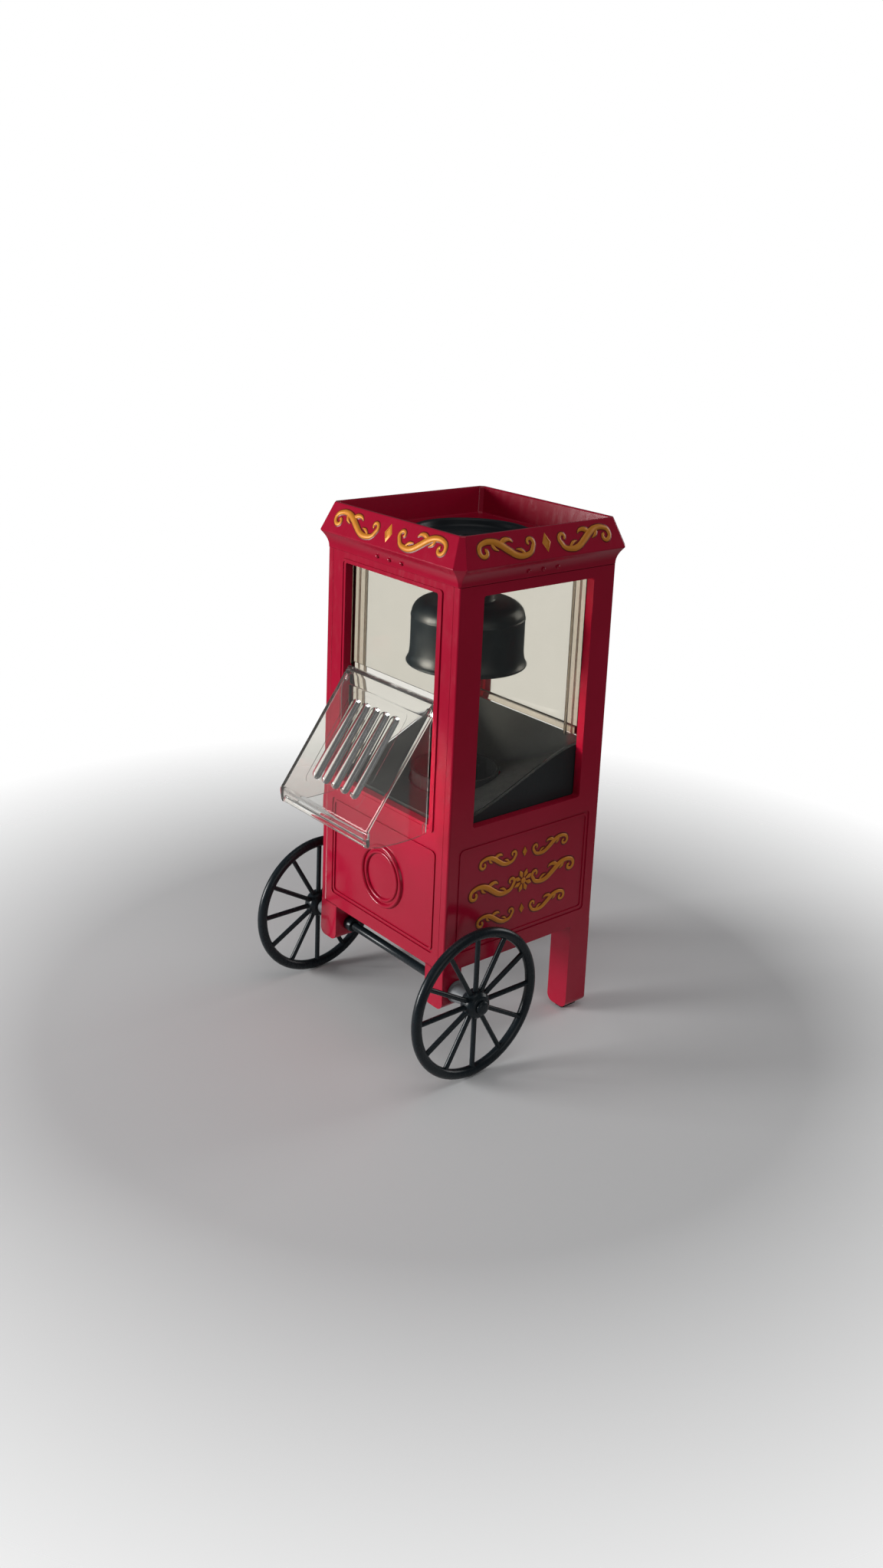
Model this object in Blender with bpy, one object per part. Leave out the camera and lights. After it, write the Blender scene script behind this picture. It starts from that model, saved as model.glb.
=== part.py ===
# Cart-style hot-air popcorn maker: glazed red cabinet on two spoked wheels and two rear legs.
# Blender units are metres, +Z up. The front (popcorn chute) faces -Y. The origin is on the
# ground under the middle of the whole outline. Lengths are written in millimetres and laid out
# from the cabinet's own centre line; SET_BACK then moves everything to the origin.
import math

import bmesh
import bpy

MM = 0.001

# ---------------------------------------------------------------- driving dimensions (mm)
GAP = 0.3                 # clearance kept between touching pieces
SKIN = 2.5                # moulded wall thickness
HALF_W = 87.5             # half width of the cabinet body
HALF_D = 86.5             # half depth of the cabinet body
SET_BACK = 27.85          # the chute reaches forward, so the cabinet sits this far back
BODY_LOW = 86.0           # underside of the cabinet body
BODY_TOP = 415.7          # top edge of the cabinet walls
BAND = 7.5                # side walls wrap round each corner by this much
WIN_HALF = 61.3           # half width of every window opening
SILL = 210.5              # lower edge of the windows
HEAD = 406.7              # upper edge of the windows
LEG_W = 23.5              # leg width across the front
FRONT_LEG_D = 20.0        # front leg, front to back
REAR_LEG_D = 24.5         # rear leg, front to back
FRONT_LEG_LOW = 51.7      # bottom of the front legs
REAR_LEG_LOW = 3.5        # bottom of the rear legs, above the rubber pads
SOCKET_TOP = 100.0        # leg sockets reach this far up inside the body

RIM_TOP = 455.8           # top of the canopy tray
RIM_HALF = 84.8           # half width at the tray rim
FLARE_HALF = 95.5         # half width at the widest fold
FLARE_Z = 431.4           # height of the widest fold
TRAY_FLOOR = 432.4        # floor of the tray

WHEEL_R = 66.5            # spoked wheel radius
WHEEL_X = 112.5           # wheel centre plane
AXLE_Y = -72.0
AXLE_R = 4.0
BORE_R = 4.4
HUB_R = 12.0
HUB_HALF = 8.0
SPOKES = 12
SPOKE_W = 4.2

HOOD_AXIS = (-81.0, 311.0)    # y, z of the chute hood hinge
HOOD_HALF = 60.8

LINER_HALF_X = 78.3
LINER_HALF_Y = 77.0

KETTLE_R = 48.8
KETTLE_LIP_R = 52.3
KETTLE_LOW = 320.5
KETTLE_TOP = 377.5
NECK_R = 22.0

CHAMBER_R = 38.5
CHAMBER_TOP = 226.0
DUCT_R = 48.0


# ---------------------------------------------------------------- helpers
def material(name, colour, rough, metal=0.0, alpha=1.0, clear=0.0):
    """One Principled material, reused when it is already there."""
    mat = bpy.data.materials.get(name)
    if mat is None:
        mat = bpy.data.materials.new(name)
        mat.use_nodes = True
        shader = mat.node_tree.nodes["Principled BSDF"]
        shader.inputs["Base Color"].default_value = (colour[0], colour[1], colour[2], 1.0)
        shader.inputs["Roughness"].default_value = rough
        shader.inputs["Metallic"].default_value = metal
        shader.inputs["Alpha"].default_value = alpha
        shader.inputs["Transmission Weight"].default_value = clear
    return mat


def red():
    return material("red_gloss", (0.33, 0.006, 0.018), 0.18)


def black():
    return material("black_satin", (0.012, 0.017, 0.022), 0.38)


def slate():
    return material("slate_matte", (0.03, 0.034, 0.035), 0.6)


def clear():
    return material("clear_plastic", (0.95, 0.94, 0.92), 0.06, 0.0, 0.4, 0.9)


def steel():
    return material("plated_steel", (0.55, 0.55, 0.56), 0.3, 1.0)


def alloy():
    return material("chamber_alloy", (0.62, 0.63, 0.65), 0.35, 1.0)


def mica():
    return material("mica_board", (0.6, 0.52, 0.4), 0.7)


def rubber():
    return material("pad_rubber", (0.02, 0.02, 0.02), 0.85)


def grey():
    return material("grey_plastic", (0.22, 0.23, 0.24), 0.5)


def finish(name, bm, mat):
    """Turn a bmesh in millimetres into a named object in metres."""
    bmesh.ops.recalc_face_normals(bm, faces=bm.faces)
    bmesh.ops.scale(bm, vec=(MM, MM, MM), verts=bm.verts)
    mesh = bpy.data.meshes.new(name)
    bm.to_mesh(mesh)
    bm.free()
    mesh.materials.append(mat)
    obj = bpy.data.objects.new(name, mesh)
    bpy.context.scene.collection.objects.link(obj)
    return obj


def add_box(bm, lo, hi):
    corners = [(x, y, z) for x in (lo[0], hi[0]) for y in (lo[1], hi[1]) for z in (lo[2], hi[2])]
    v = [bm.verts.new(c) for c in corners]
    for f in ((0, 1, 3, 2), (4, 6, 7, 5), (0, 4, 5, 1), (2, 3, 7, 6), (0, 2, 6, 4), (1, 5, 7, 3)):
        bm.faces.new([v[i] for i in f])


def boxes(name, pairs, mat):
    bm = bmesh.new()
    for lo, hi in pairs:
        add_box(bm, lo, hi)
    return finish(name, bm, mat)


def add_prism(bm, outline, axis, lo, hi):
    """Extrude a flat outline along an axis: outline points are the other two coordinates."""
    def place(p, h):
        if axis == "X":
            return (h, p[0], p[1])
        if axis == "Y":
            return (p[0], h, p[1])
        return (p[0], p[1], h)
    low = [bm.verts.new(place(p, lo)) for p in outline]
    top = [bm.verts.new(place(p, hi)) for p in outline]
    n = len(outline)
    bm.faces.new(low)
    bm.faces.new(top)
    for i in range(n):
        bm.faces.new((low[i], low[(i + 1) % n], top[(i + 1) % n], top[i]))


def prism(name, outline, axis, lo, hi, mat):
    bm = bmesh.new()
    add_prism(bm, outline, axis, lo, hi)
    return finish(name, bm, mat)


def add_lathe(bm, profile, axis, centre, segs):
    """Turn a profile of (radius, height) round an axis; radius 0 closes on the axis."""
    def place(r, h, a):
        u, w = r * math.cos(a), r * math.sin(a)
        if axis == "X":
            return (centre[0] + h, centre[1] + u, centre[2] + w)
        if axis == "Y":
            return (centre[0] + u, centre[1] + h, centre[2] + w)
        return (centre[0] + u, centre[1] + w, centre[2] + h)
    rings = []
    for r, h in profile:
        if r == 0:
            rings.append([bm.verts.new(place(0, h, 0))])
        else:
            rings.append([bm.verts.new(place(r, h, 2 * math.pi * i / segs)) for i in range(segs)])
    n = len(profile)
    closed = profile[0][0] > 0
    for k in range(n if closed else n - 1):
        a, b = rings[k], rings[(k + 1) % n]
        for i in range(segs):
            j = (i + 1) % segs
            quad = [a[i % len(a)], a[j % len(a)], b[j % len(b)], b[i % len(b)]]
            seen = []
            for v in quad:
                if v not in seen:
                    seen.append(v)
            if len(seen) > 2:
                bm.faces.new(seen)


def lathe(name, profile, axis, centre, segs, mat):
    bm = bmesh.new()
    add_lathe(bm, profile, axis, centre, segs)
    obj = finish(name, bm, mat)
    obj.data.shade_smooth()
    obj.data.set_sharp_from_angle(angle=math.radians(35))
    return obj


def hide(obj):
    obj.hide_render = True
    obj.display_type = 'WIRE'


def boolean(target, tool, operation):
    hide(tool)
    mod = target.modifiers.new(tool.name, 'BOOLEAN')
    mod.operation = operation
    mod.solver = 'EXACT'
    mod.object = tool
    return target


def cut(target, tool):
    return boolean(target, tool, 'DIFFERENCE')


def fuse(target, tool):
    return boolean(target, tool, 'UNION')


def set_origin(obj, x, y, z):
    """Put the object's origin on its joint axis without moving its shape."""
    for v in obj.data.vertices:
        v.co.x -= x * MM
        v.co.y -= y * MM
        v.co.z -= z * MM
    obj.location = (x * MM, y * MM, z * MM)


def arc(cx, cy, r, a0, a1, n):
    """Points on a circle from angle a0 to a1 in degrees, ends included."""
    pts = []
    for i in range(n + 1):
        a = math.radians(a0 + (a1 - a0) * i / n)
        pts.append((cx + r * math.cos(a), cy + r * math.sin(a)))
    return pts


def smoothstep(t):
    t = min(max(t, 0.0), 1.0)
    return t * t * (3 - 2 * t)


# ---------------------------------------------------------------- cabinet walls
def leg_outline(x_in, x_out, low, top):
    """Leg seen from the front, with both bottom corners rounded."""
    r = 7.0
    return (arc(x_in + r, low + r, r, 180, 270, 3) + arc(x_out - r, low + r, r, 270, 360, 3)
            + [(x_out, top), (x_in, top)])


def side_panel(name, s):
    """Side wall with corner bands, two hollow legs, a window and a recessed lower field."""
    x1 = HALF_W
    c = 2.0
    shape = [(x1 - BAND, -HALF_D), (x1 - c, -HALF_D), (x1, -HALF_D + c), (x1, HALF_D - c),
             (x1 - c, HALF_D), (x1 - BAND, HALF_D), (x1 - BAND, HALF_D - SKIN),
             (x1 - SKIN, HALF_D - SKIN), (x1 - SKIN, -HALF_D + SKIN), (x1 - BAND, -HALF_D + SKIN)]
    wall = prism(name, [(s * x, y) for x, y in shape], "Z", BODY_LOW, BODY_TOP, red())

    lip = SKIN + GAP
    for part, low, ya, yb in (("front", FRONT_LEG_LOW, -HALF_D, -HALF_D + FRONT_LEG_D),
                              ("rear", REAR_LEG_LOW, HALF_D - REAR_LEG_D, HALF_D)):
        bm = bmesh.new()
        outer = leg_outline(x1 - LEG_W, x1, low, BODY_LOW)
        add_prism(bm, [(s * x, z) for x, z in outer], "Y", ya, yb)
        fuse(wall, finish("%s_%s_leg_form" % (name, part), bm, red()))
        ys = (ya + lip, yb) if part == "front" else (ya, yb - lip)
        fuse(wall, boxes("%s_%s_socket_form" % (name, part),
                         [tuple_pair(s, x1 - LEG_W, x1 - 1, ys[0], ys[1], BODY_LOW - 6, SOCKET_TOP)],
                         red()))
    tabs = boxes(name + "_tabs", [tuple_pair(s, 70, x1 - 1, 77.5, HALF_D - SKIN - GAP, z, z + 10)
                                  for z in (105, 188)], red())
    fuse(wall, tabs)

    hollow = boxes(name + "_leg_hollows", [
        tuple_pair(s, x1 - LEG_W + SKIN, x1 - SKIN, -HALF_D + lip + SKIN,
                   -HALF_D + FRONT_LEG_D - SKIN, FRONT_LEG_LOW + 4.5, SOCKET_TOP + 5),
        tuple_pair(s, x1 - LEG_W + SKIN, x1 - SKIN, HALF_D - REAR_LEG_D + SKIN,
                   HALF_D - lip - SKIN, REAR_LEG_LOW + 4.5, SOCKET_TOP + 5)], red())
    cut(wall, hollow)
    openings = boxes(name + "_openings", [
        tuple_pair(s, x1 - 10, x1 + 5, -WIN_HALF, WIN_HALF, SILL, HEAD),
        tuple_pair(s, x1 - 1.0, x1 + 5, -75.5, 75.5, 100, 195)], red())
    cut(wall, openings)
    bm = bmesh.new()
    add_lathe(bm, [(0, -20), (BORE_R, -20), (BORE_R, 20), (0, 20)], "X",
              (s * (x1 - 10), AXLE_Y, WHEEL_R), 16)
    for z in (110, 193):
        add_lathe(bm, [(0, -8), (1.9, -8), (1.9, 8), (0, 8)], "Y", (s * 75, 80, z), 10)
    cut(wall, finish(name + "_holes", bm, red()))
    return wall


def tuple_pair(s, xa, xb, ya, yb, za, zb):
    """Box corners mirrored to side s (+1 right, -1 left)."""
    xs = sorted((s * xa, s * xb))
    return ((xs[0], ya, za), (xs[1], yb, zb))


def front_panel():
    """Front frame: window with a raised bead, recessed lower field with a round medallion."""
    x1 = HALF_W - BAND - GAP
    face = boxes("front_panel", [((-x1, -HALF_D, BODY_LOW + GAP), (x1, -HALF_D + SKIN, BODY_TOP))],
                 red())
    bead = boxes("front_window_bead", [((-67, -HALF_D - 1.2, SILL - 5.5),
                                        (67, -HALF_D + 1, HEAD + 5.5))], red())
    fuse(face, bead)
    hinge = boxes("front_hinge_bosses", [((-70, -HALF_D + 1, 305), (-62, -77.6, 317)),
                                         ((62, -HALF_D + 1, 305), (70, -77.6, 317))], red())
    fuse(face, hinge)
    cut(face, boxes("front_openings", [((-WIN_HALF, -95, SILL), (WIN_HALF, -83, HEAD)),
                                       ((-72, -95, 98), (72, -HALF_D + 1.2, 191))], red()))
    bm = bmesh.new()
    add_lathe(bm, [(20.5, -1.0), (28.5, -1.0), (28.5, 1.4), (20.5, 1.4)], "Y",
              (0, -HALF_D + 1.0, 141), 32)
    fuse(face, finish("front_medallion_ring", bm, red()))
    bm = bmesh.new()
    for s in (-1, 1):
        add_lathe(bm, [(0, -9), (1.85, -9), (1.85, 9), (0, 9)], "X",
                  (s * 66, HOOD_AXIS[0], HOOD_AXIS[1]), 12)
    cut(face, finish("front_pin_holes", bm, red()))
    return face


def rear_panel():
    """Rear frame with its window, the switch cut-out and the cord entry hole."""
    x1 = HALF_W - BAND - GAP
    face = boxes("rear_panel", [((-x1, HALF_D - SKIN, BODY_LOW + GAP), (x1, HALF_D, BODY_TOP))],
                 red())
    cut(face, boxes("rear_openings", [((-WIN_HALF, 80, SILL), (WIN_HALF, 90, HEAD)),
                                      ((-47.5, 80, 139.5), (-32.5, 90, 160.5))], red()))
    bm = bmesh.new()
    add_lathe(bm, [(0, -8), (5.5, -8), (5.5, 8), (0, 8)], "Y", (40, HALF_D, 120), 16)
    for x in (-75, 75):
        for z in (110, 193):
            add_lathe(bm, [(0, -8), (1.9, -8), (1.9, 8), (0, 8)], "Y", (x, HALF_D, z), 10)
    cut(face, finish("rear_holes", bm, red()))
    return face


def bottom_plate():
    """Base closing the body, with air-intake slots under the fan."""
    x1, y1 = HALF_W - SKIN - GAP, HALF_D - SKIN - GAP
    plate = boxes("bottom_plate", [((-x1, -y1, BODY_LOW + GAP), (x1, y1, BODY_LOW + 2.8))], black())
    notch = []
    for s in (-1, 1):
        notch.append(tuple_pair(s, HALF_W - LEG_W - GAP, 95, -95, -HALF_D + FRONT_LEG_D + GAP,
                                80, 95))
        notch.append(tuple_pair(s, HALF_W - LEG_W - GAP, 95, HALF_D - REAR_LEG_D - GAP, 95,
                                80, 95))
    cut(plate, boxes("bottom_notches", notch, black()))
    slots = []
    for i in range(7):
        x = -30 + 10 * i
        half = 36 - abs(x) * 0.5
        slots.append(((x - 2, -half, 80), (x + 2, half, 95)))
    cut(plate, boxes("bottom_slots", slots, black()))
    bm = bmesh.new()
    for x in (-46, 46):
        for y in (-46, 46):
            add_lathe(bm, [(0, -6), (1.9, -6), (1.9, 6), (0, 6)], "Z", (x, y, 87), 10)
    cut(plate, finish("bottom_holes", bm, black()))
    return plate


# ---------------------------------------------------------------- canopy and kernel filler
def square_ring(half, chamfer, z):
    h, c = half, chamfer
    return [(h, -h + c, z), (h, h - c, z), (h - c, h, z), (-h + c, h, z),
            (-h, h - c, z), (-h, -h + c, z), (-h + c, -h, z), (h - c, -h, z)]


def canopy_tray():
    """Flared top: cove, slanted fascia, rim, and the open tray inside it."""
    outer = [(87.5, 2.0, BODY_TOP + GAP), (88.2, 2.6, 420), (90.0, 4.0, 424.5), (93.0, 6.5, 428.8),
             (FLARE_HALF, 8.0, FLARE_Z), (RIM_HALF, 3.4, RIM_TOP)]
    inner = [(82.4, 3.0, RIM_TOP), (78.5, 3.0, TRAY_FLOOR)]
    under = [(76.3, 3.0, TRAY_FLOOR - 2.2), (80.0, 3.0, 451.5), (83.5, 3.2, 451.5),
             (92.3, 7.0, 431.0), (87.4, 3.0, 424.5), (85.0, 2.0, BODY_TOP + GAP)]
    bm = bmesh.new()
    rings = []
    for half, chamfer, z in [inner[1], inner[0]] + outer[::-1] + under[::-1]:
        rings.append([bm.verts.new(p) for p in square_ring(half, chamfer, z)])
    for a, b in zip(rings, rings[1:]):
        for i in range(8):
            bm.faces.new((a[i], a[(i + 1) % 8], b[(i + 1) % 8], b[i]))
    bm.faces.new(rings[0])
    bm.faces.new(rings[-1])
    tray = finish("canopy_tray", bm, red())
    bm = bmesh.new()
    add_lathe(bm, [(0, -10), (51.0, -10), (51.0, 10), (0, 10)], "Z", (0, 0, TRAY_FLOOR), 32)
    cut(tray, finish("canopy_mouth", bm, red()))
    return tray


def ceiling_plate():
    """Inner ceiling of the cabinet that carries the kettle."""
    x1, y1 = HALF_W - SKIN - GAP, HALF_D - SKIN - GAP
    plate = boxes("ceiling_plate", [((-x1, -y1, 411.5), (x1, y1, 413.7))], red())
    bm = bmesh.new()
    add_lathe(bm, [(0, -6), (23.0, -6), (23.0, 6), (0, 6)], "Z", (0, 0, 412), 24)
    cut(plate, finish("ceiling_hole", bm, red()))
    return plate


def kernel_funnel():
    """Filler funnel from the tray down through the kettle."""
    profile = [(50.5, 432.7), (56.0, 432.7), (56.0, 434.2), (48.8, 434.2), (48.8, 426.0),
               (18.0, 416.0), (16.5, 334.0), (18.3, 334.0), (19.4, 414.4), (50.5, 424.8)]
    return lathe("kernel_funnel", profile, "Z", (0, 0, 0), 28, black())


def kernel_lid():
    """Shallow dished lid that drops into the funnel mouth."""
    profile = [(0, 431.0), (45.5, 431.0), (47.0, 432.5), (47.0, 438.2), (54.0, 438.2),
               (54.0, 434.6), (48.4, 434.6), (48.4, 429.4), (0, 429.4)]
    lid = lathe("kernel_lid", profile, "Z", (0, 0, 0), 28, black())
    set_origin(lid, 0, 0, 434.6)
    return lid


def kettle_housing():
    """Hanging bell kettle with a rolled lip, a domed shoulder and a hanger neck."""
    t = 2.2
    outer = [(KETTLE_LIP_R - 1.2, KETTLE_LOW), (KETTLE_LIP_R, KETTLE_LOW + 1.6),
             (KETTLE_LIP_R - 0.5, KETTLE_LOW + 4.5), (KETTLE_R + 0.5, KETTLE_LOW + 8.5),
             (KETTLE_R, KETTLE_LOW + 12), (KETTLE_R, 362)]
    outer += arc(KETTLE_R - 13.5, 363.5, 13.5, 5, 85, 4)
    outer += [(NECK_R + 1.5, KETTLE_TOP), (NECK_R, KETTLE_TOP + 2), (NECK_R, 411.0)]
    inner = [(NECK_R - 1.8, 411.0), (NECK_R - 1.8, KETTLE_TOP - t)]
    inner += arc(KETTLE_R - 13.5, 363.5, 13.5 - t, 85, 5, 4)
    inner += [(KETTLE_R - t, 362), (KETTLE_R - t, KETTLE_LOW + 12), (KETTLE_R - 1.2, KETTLE_LOW + 3),
              (KETTLE_R - 0.6, KETTLE_LOW)]
    return lathe("kettle_housing", outer + inner, "Z", (0, 0, 0), 24, black())


# ---------------------------------------------------------------- glazing and chute hood
def rounded_square(hx, hy, r, n):
    return (arc(hx - r, hy - r, r, 0, 90, n) + arc(-hx + r, hy - r, r, 90, 180, n)
            + arc(-hx + r, -hy + r, r, 180, 270, n) + arc(hx - r, -hy + r, r, 270, 360, n))


def slide_rim(y):
    """Height of the slide's side walls: high at the back, falling towards the chute."""
    return 213.0 + 44.0 * smoothstep((y + 77.0) / 154.0)


def window_liner():
    """Clear four-sided glazing with ribbed corners; its front is open below the chute hinge."""
    tube = prism("window_liner", rounded_square(LINER_HALF_X, LINER_HALF_Y, 6.0, 3), "Z",
                 200, 411.0, clear())
    inner = prism("liner_inside", rounded_square(LINER_HALF_X - 2, LINER_HALF_Y - 2, 4.2, 3), "Z",
                  190, 420, clear())
    cut(tube, inner)
    n = 12
    line = []
    for i in range(n + 1):
        y = -90 + 180 * i / n
        line.append((y, slide_rim(y) + 2.6))
    below = prism("liner_lower_cut", [(-90, 180), (90, 180)] + line[::-1], "X", -90, 90, clear())
    cut(tube, below)
    cut(tube, boxes("liner_front_cut", [((-64, -90, 180), (64, -60, 318))], clear()))
    ribs = boxes("liner_rear_rail", [((-70, LINER_HALF_Y - 5, 259.6), (70, LINER_HALF_Y - 1, 265))],
                 clear())
    fuse(tube, ribs)
    return tube


def hood_profile():
    """Outer side outline of the chute hood: slanted face, short front lip, curved bottom."""
    y0, z0 = HOOD_AXIS
    low = [(-149.5, 205.0), (-135.0, 202.6), (-118.0, 201.6), (-102.0, 201.8), (-88.6, 203.0)]
    return [(y0 + 2.5, z0 + 3.0), (y0 - 2.3, z0 + 3.3), (-150.0, 219.0), (-151.2, 215.5)] + low + [
        (-88.6, 296.0), (y0 - 2.5, z0 - 3.0), (y0 + 2.5, z0 - 3.0)]


def chute_hood():
    """Clear hood hung from its top edge: sloped face, two side cheeks, open underneath."""
    y0, z0 = HOOD_AXIS
    hood = prism("chute_hood", hood_profile(), "X", -HOOD_HALF, HOOD_HALF, clear())
    inside = [(-88.0, 303.0), (-147.6, 218.6), (-148.9, 215.0), (-147.2, 190.0), (-80.0, 190.0),
              (-80.0, 303.0)]
    cut(hood, prism("hood_inside", inside, "X", -HOOD_HALF + 2, HOOD_HALF - 2, clear()))
    run = (-150.0 + 83.3, 219.0 - 314.3)
    length = math.hypot(run[0], run[1])
    d = (run[0] / length, run[1] / length)
    out = (d[1], -d[0])
    bm = bmesh.new()
    for i in range(5):
        x = -26.4 + 13.2 * i
        for k, s in enumerate((26.0, 93.0)):
            cy, cz = -83.3 + d[0] * s + out[0] * 0.6, 314.3 + d[1] * s + out[1] * 0.6
            ring = []
            for j in range(8):
                a = 2 * math.pi * (j + 0.5) / 8
                ring.append(bm.verts.new((x + 2.6 * math.cos(a), cy + out[0] * 2.6 * math.sin(a),
                                          cz + out[1] * 2.6 * math.sin(a))))
            if k == 0:
                first = ring
                bm.faces.new(ring)
            else:
                bm.faces.new(ring)
                for j in range(8):
                    bm.faces.new((first[j], first[(j + 1) % 8], ring[(j + 1) % 8], ring[j]))
    fuse(hood, finish("hood_ribs", bm, clear()))
    bm = bmesh.new()
    for s in (-1, 1):
        add_lathe(bm, [(0, -4), (1.85, -4), (1.85, 4), (0, 4)], "X",
                  (s * (HOOD_HALF + 1), y0, z0), 12)
    cut(hood, finish("hood_pin_holes", bm, clear()))
    return hood


def hood_pin(name, s):
    """Steel pin in the frame boss that the hood swings on."""
    pin = lathe(name, [(0, -5.3), (1.5, -5.3), (1.5, 4.7), (0, 4.7)] if s > 0 else
                [(0, -4.7), (1.5, -4.7), (1.5, 5.3), (0, 5.3)], "X",
                (s * 63.5, HOOD_AXIS[0], HOOD_AXIS[1]), 12, steel())
    return pin


def popcorn_slide():
    """Hopper-shaped slide: high back, side flanks falling to a rounded valley."""
    hx, hy = LINER_HALF_X, LINER_HALF_Y
    nx, ny = 12, 12
    t = 2.0

    def height(x, y):
        floor = 212.0 + 9.0 * (y + hy) / (2 * hy)
        rim = slide_rim(y)
        flank = floor + (rim - floor) * (abs(x) / hx) ** 1.35
        back = 257.0 - 1.75 * (hy - y) * (1.0 - 0.12 * (x / hx) ** 2)
        k = 4.0
        m = max(flank, back)
        blend = m + k * math.log(math.exp((flank - m) / k) + math.exp((back - m) / k))
        return min(blend, max(rim, 257.0 if y >= hy - 0.01 else rim))

    bm = bmesh.new()
    top = []
    low = []
    for j in range(ny + 1):
        row_t, row_l = [], []
        for i in range(nx + 1):
            u, v = -1 + 2 * i / nx, -1 + 2 * j / ny
            x, y = hx * u, hy * v
            row_t.append(bm.verts.new((x, y, height(x, y))))
            xi, yi = (hx - t) * u, (hy - t) * v
            row_l.append(bm.verts.new((xi, yi, height(x, y) - 2.2)))
        top.append(row_t)
        low.append(row_l)
    for j in range(ny):
        for i in range(nx):
            bm.faces.new((top[j][i], top[j][i + 1], top[j + 1][i + 1], top[j + 1][i]))
            bm.faces.new((low[j][i], low[j + 1][i], low[j + 1][i + 1], low[j][i + 1]))
    edge = ([(0, i) for i in range(nx)] + [(j, nx) for j in range(ny)]
            + [(ny, nx - i) for i in range(nx)] + [(ny - j, 0) for j in range(ny)])
    skirt_o, skirt_i = [], []
    for j, i in edge:
        u, v = -1 + 2 * i / nx, -1 + 2 * j / ny
        skirt_o.append(bm.verts.new((hx * u, hy * v, 204.0)))
        skirt_i.append(bm.verts.new(((hx - t) * u, (hy - t) * v, 204.0)))
    n = len(edge)
    for k in range(n):
        m = (k + 1) % n
        (ja, ia), (jb, ib) = edge[k], edge[m]
        bm.faces.new((top[ja][ia], skirt_o[k], skirt_o[m], top[jb][ib]))
        bm.faces.new((skirt_o[k], skirt_i[k], skirt_i[m], skirt_o[m]))
        bm.faces.new((skirt_i[k], low[ja][ia], low[jb][ib], skirt_i[m]))
    slide = finish("popcorn_slide", bm, slate())
    bm = bmesh.new()
    add_lathe(bm, [(0, -40), (CHAMBER_R + 2.2, -40), (CHAMBER_R + 2.2, 30), (0, 30)], "Z",
              (0, -8, 215), 28)
    cut(slide, finish("slide_mouth", bm, slate()))
    slide.data.shade_smooth()
    slide.data.set_sharp_from_angle(angle=math.radians(40))
    return slide


# ---------------------------------------------------------------- hot-air works in the base
def popping_chamber():
    """Alloy popping can with a collar at its mouth and a flange on the duct."""
    r, t = CHAMBER_R, 1.2
    profile = [(0, 158.0), (r - 3, 158.0), (r, 161.0), (r, 199.7), (DUCT_R - 1.0, 199.7),
               (DUCT_R - 1.0, 201.2), (r, 201.2), (r, CHAMBER_TOP - 1.5),
               (r + 1.2, CHAMBER_TOP), (r - t, CHAMBER_TOP), (r - t, 161.5), (r - 3.4, 159.2),
               (0, 159.2)]
    can = lathe("popping_chamber", profile, "Z", (0, -8, 0), 24, alloy())
    vents = []
    for i in range(8):
        a = 2 * math.pi * (i + 0.5) / 8
        vents.append((a, r))
    bm = bmesh.new()
    for a, rr in vents:
        ca, sa = math.cos(a), math.sin(a)
        ring_in, ring_out = [], []
        for du, dz in ((-3, -4), (3, -4), (3, 4), (-3, 4)):
            for ring, rad in ((ring_in, rr - 4), (ring_out, rr + 4)):
                ring.append(bm.verts.new((rad * ca - du * sa, -8 + rad * sa + du * ca, 168 + dz)))
        bm.faces.new(ring_in)
        bm.faces.new(ring_out)
        for j in range(4):
            bm.faces.new((ring_in[j], ring_in[(j + 1) % 4], ring_out[(j + 1) % 4], ring_out[j]))
    cut(can, finish("chamber_vents", bm, alloy()))
    return can


def air_duct():
    """Round duct that carries fan air past the heater to the chamber vents."""
    r = DUCT_R
    duct = lathe("air_duct", [(r, 89.1), (r, 199.4), (r - 2, 199.4), (r - 2, 89.1)], "Z",
                 (0, -8, 0), 32, slate())
    feet = []
    for x in (-46, 46):
        for y in (-46, 46):
            feet.append(((x - 7, y - 7, 89.1), (x + 7, y + 7, 95.0)))
    cut_feet = boxes("duct_feet", feet, slate())
    tool = boxes("duct_foot_ring", [((-50, -50, 89.1), (50, 46, 93.0))], slate())
    fuse(duct, tool)
    fuse(duct, cut_feet)
    bm = bmesh.new()
    add_lathe(bm, [(0, -20), (r - 2, -20), (r - 2, 125), (0, 125)], "Z", (0, -8, 89), 32)
    for x in (-46, 46):
        for y in (-46, 46):
            add_lathe(bm, [(0, -6), (1.9, -6), (1.9, 10), (0, 10)], "Z", (x, y, 90), 10)
    cut(duct, finish("duct_bores", bm, slate()))
    return duct


def fan_impeller():
    """Backing disc, hub and straight radial blades."""
    disc = lathe("fan_impeller", [(2.0, 92.0), (40.0, 92.0), (40.0, 93.6), (7.0, 93.6), (7.0, 104.0),
                                  (2.0, 104.0)], "Z", (0, -8, 0), 28, grey())
    bm = bmesh.new()
    for i in range(9):
        a = 2 * math.pi * i / 9
        ca, sa = math.cos(a), math.sin(a)
        pts = [(6.0, -0.7), (39.0, -0.7), (39.0, 0.7), (6.0, 0.7)]
        add_prism(bm, [(r * ca - w * sa, -8 + r * sa + w * ca) for r, w in pts], "Z", 93.0, 103.0)
    fuse(disc, finish("fan_blades", bm, grey()))
    set_origin(disc, 0, -8, 98)
    return disc


def motor_shaft():
    shaft = lathe("motor_shaft", [(0, 91.0), (1.6, 91.0), (1.6, 137.0), (0, 137.0)], "Z",
                  (0, -8, 0), 12, steel())
    set_origin(shaft, 0, -8, 98)
    return shaft


def motor_housing():
    return lathe("motor_housing", [(2.2, 106.0), (13.0, 106.0), (14.0, 107.0), (14.0, 133.0),
                                   (13.0, 134.0), (2.2, 134.0)], "Z", (0, -8, 0), 24, steel())


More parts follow.
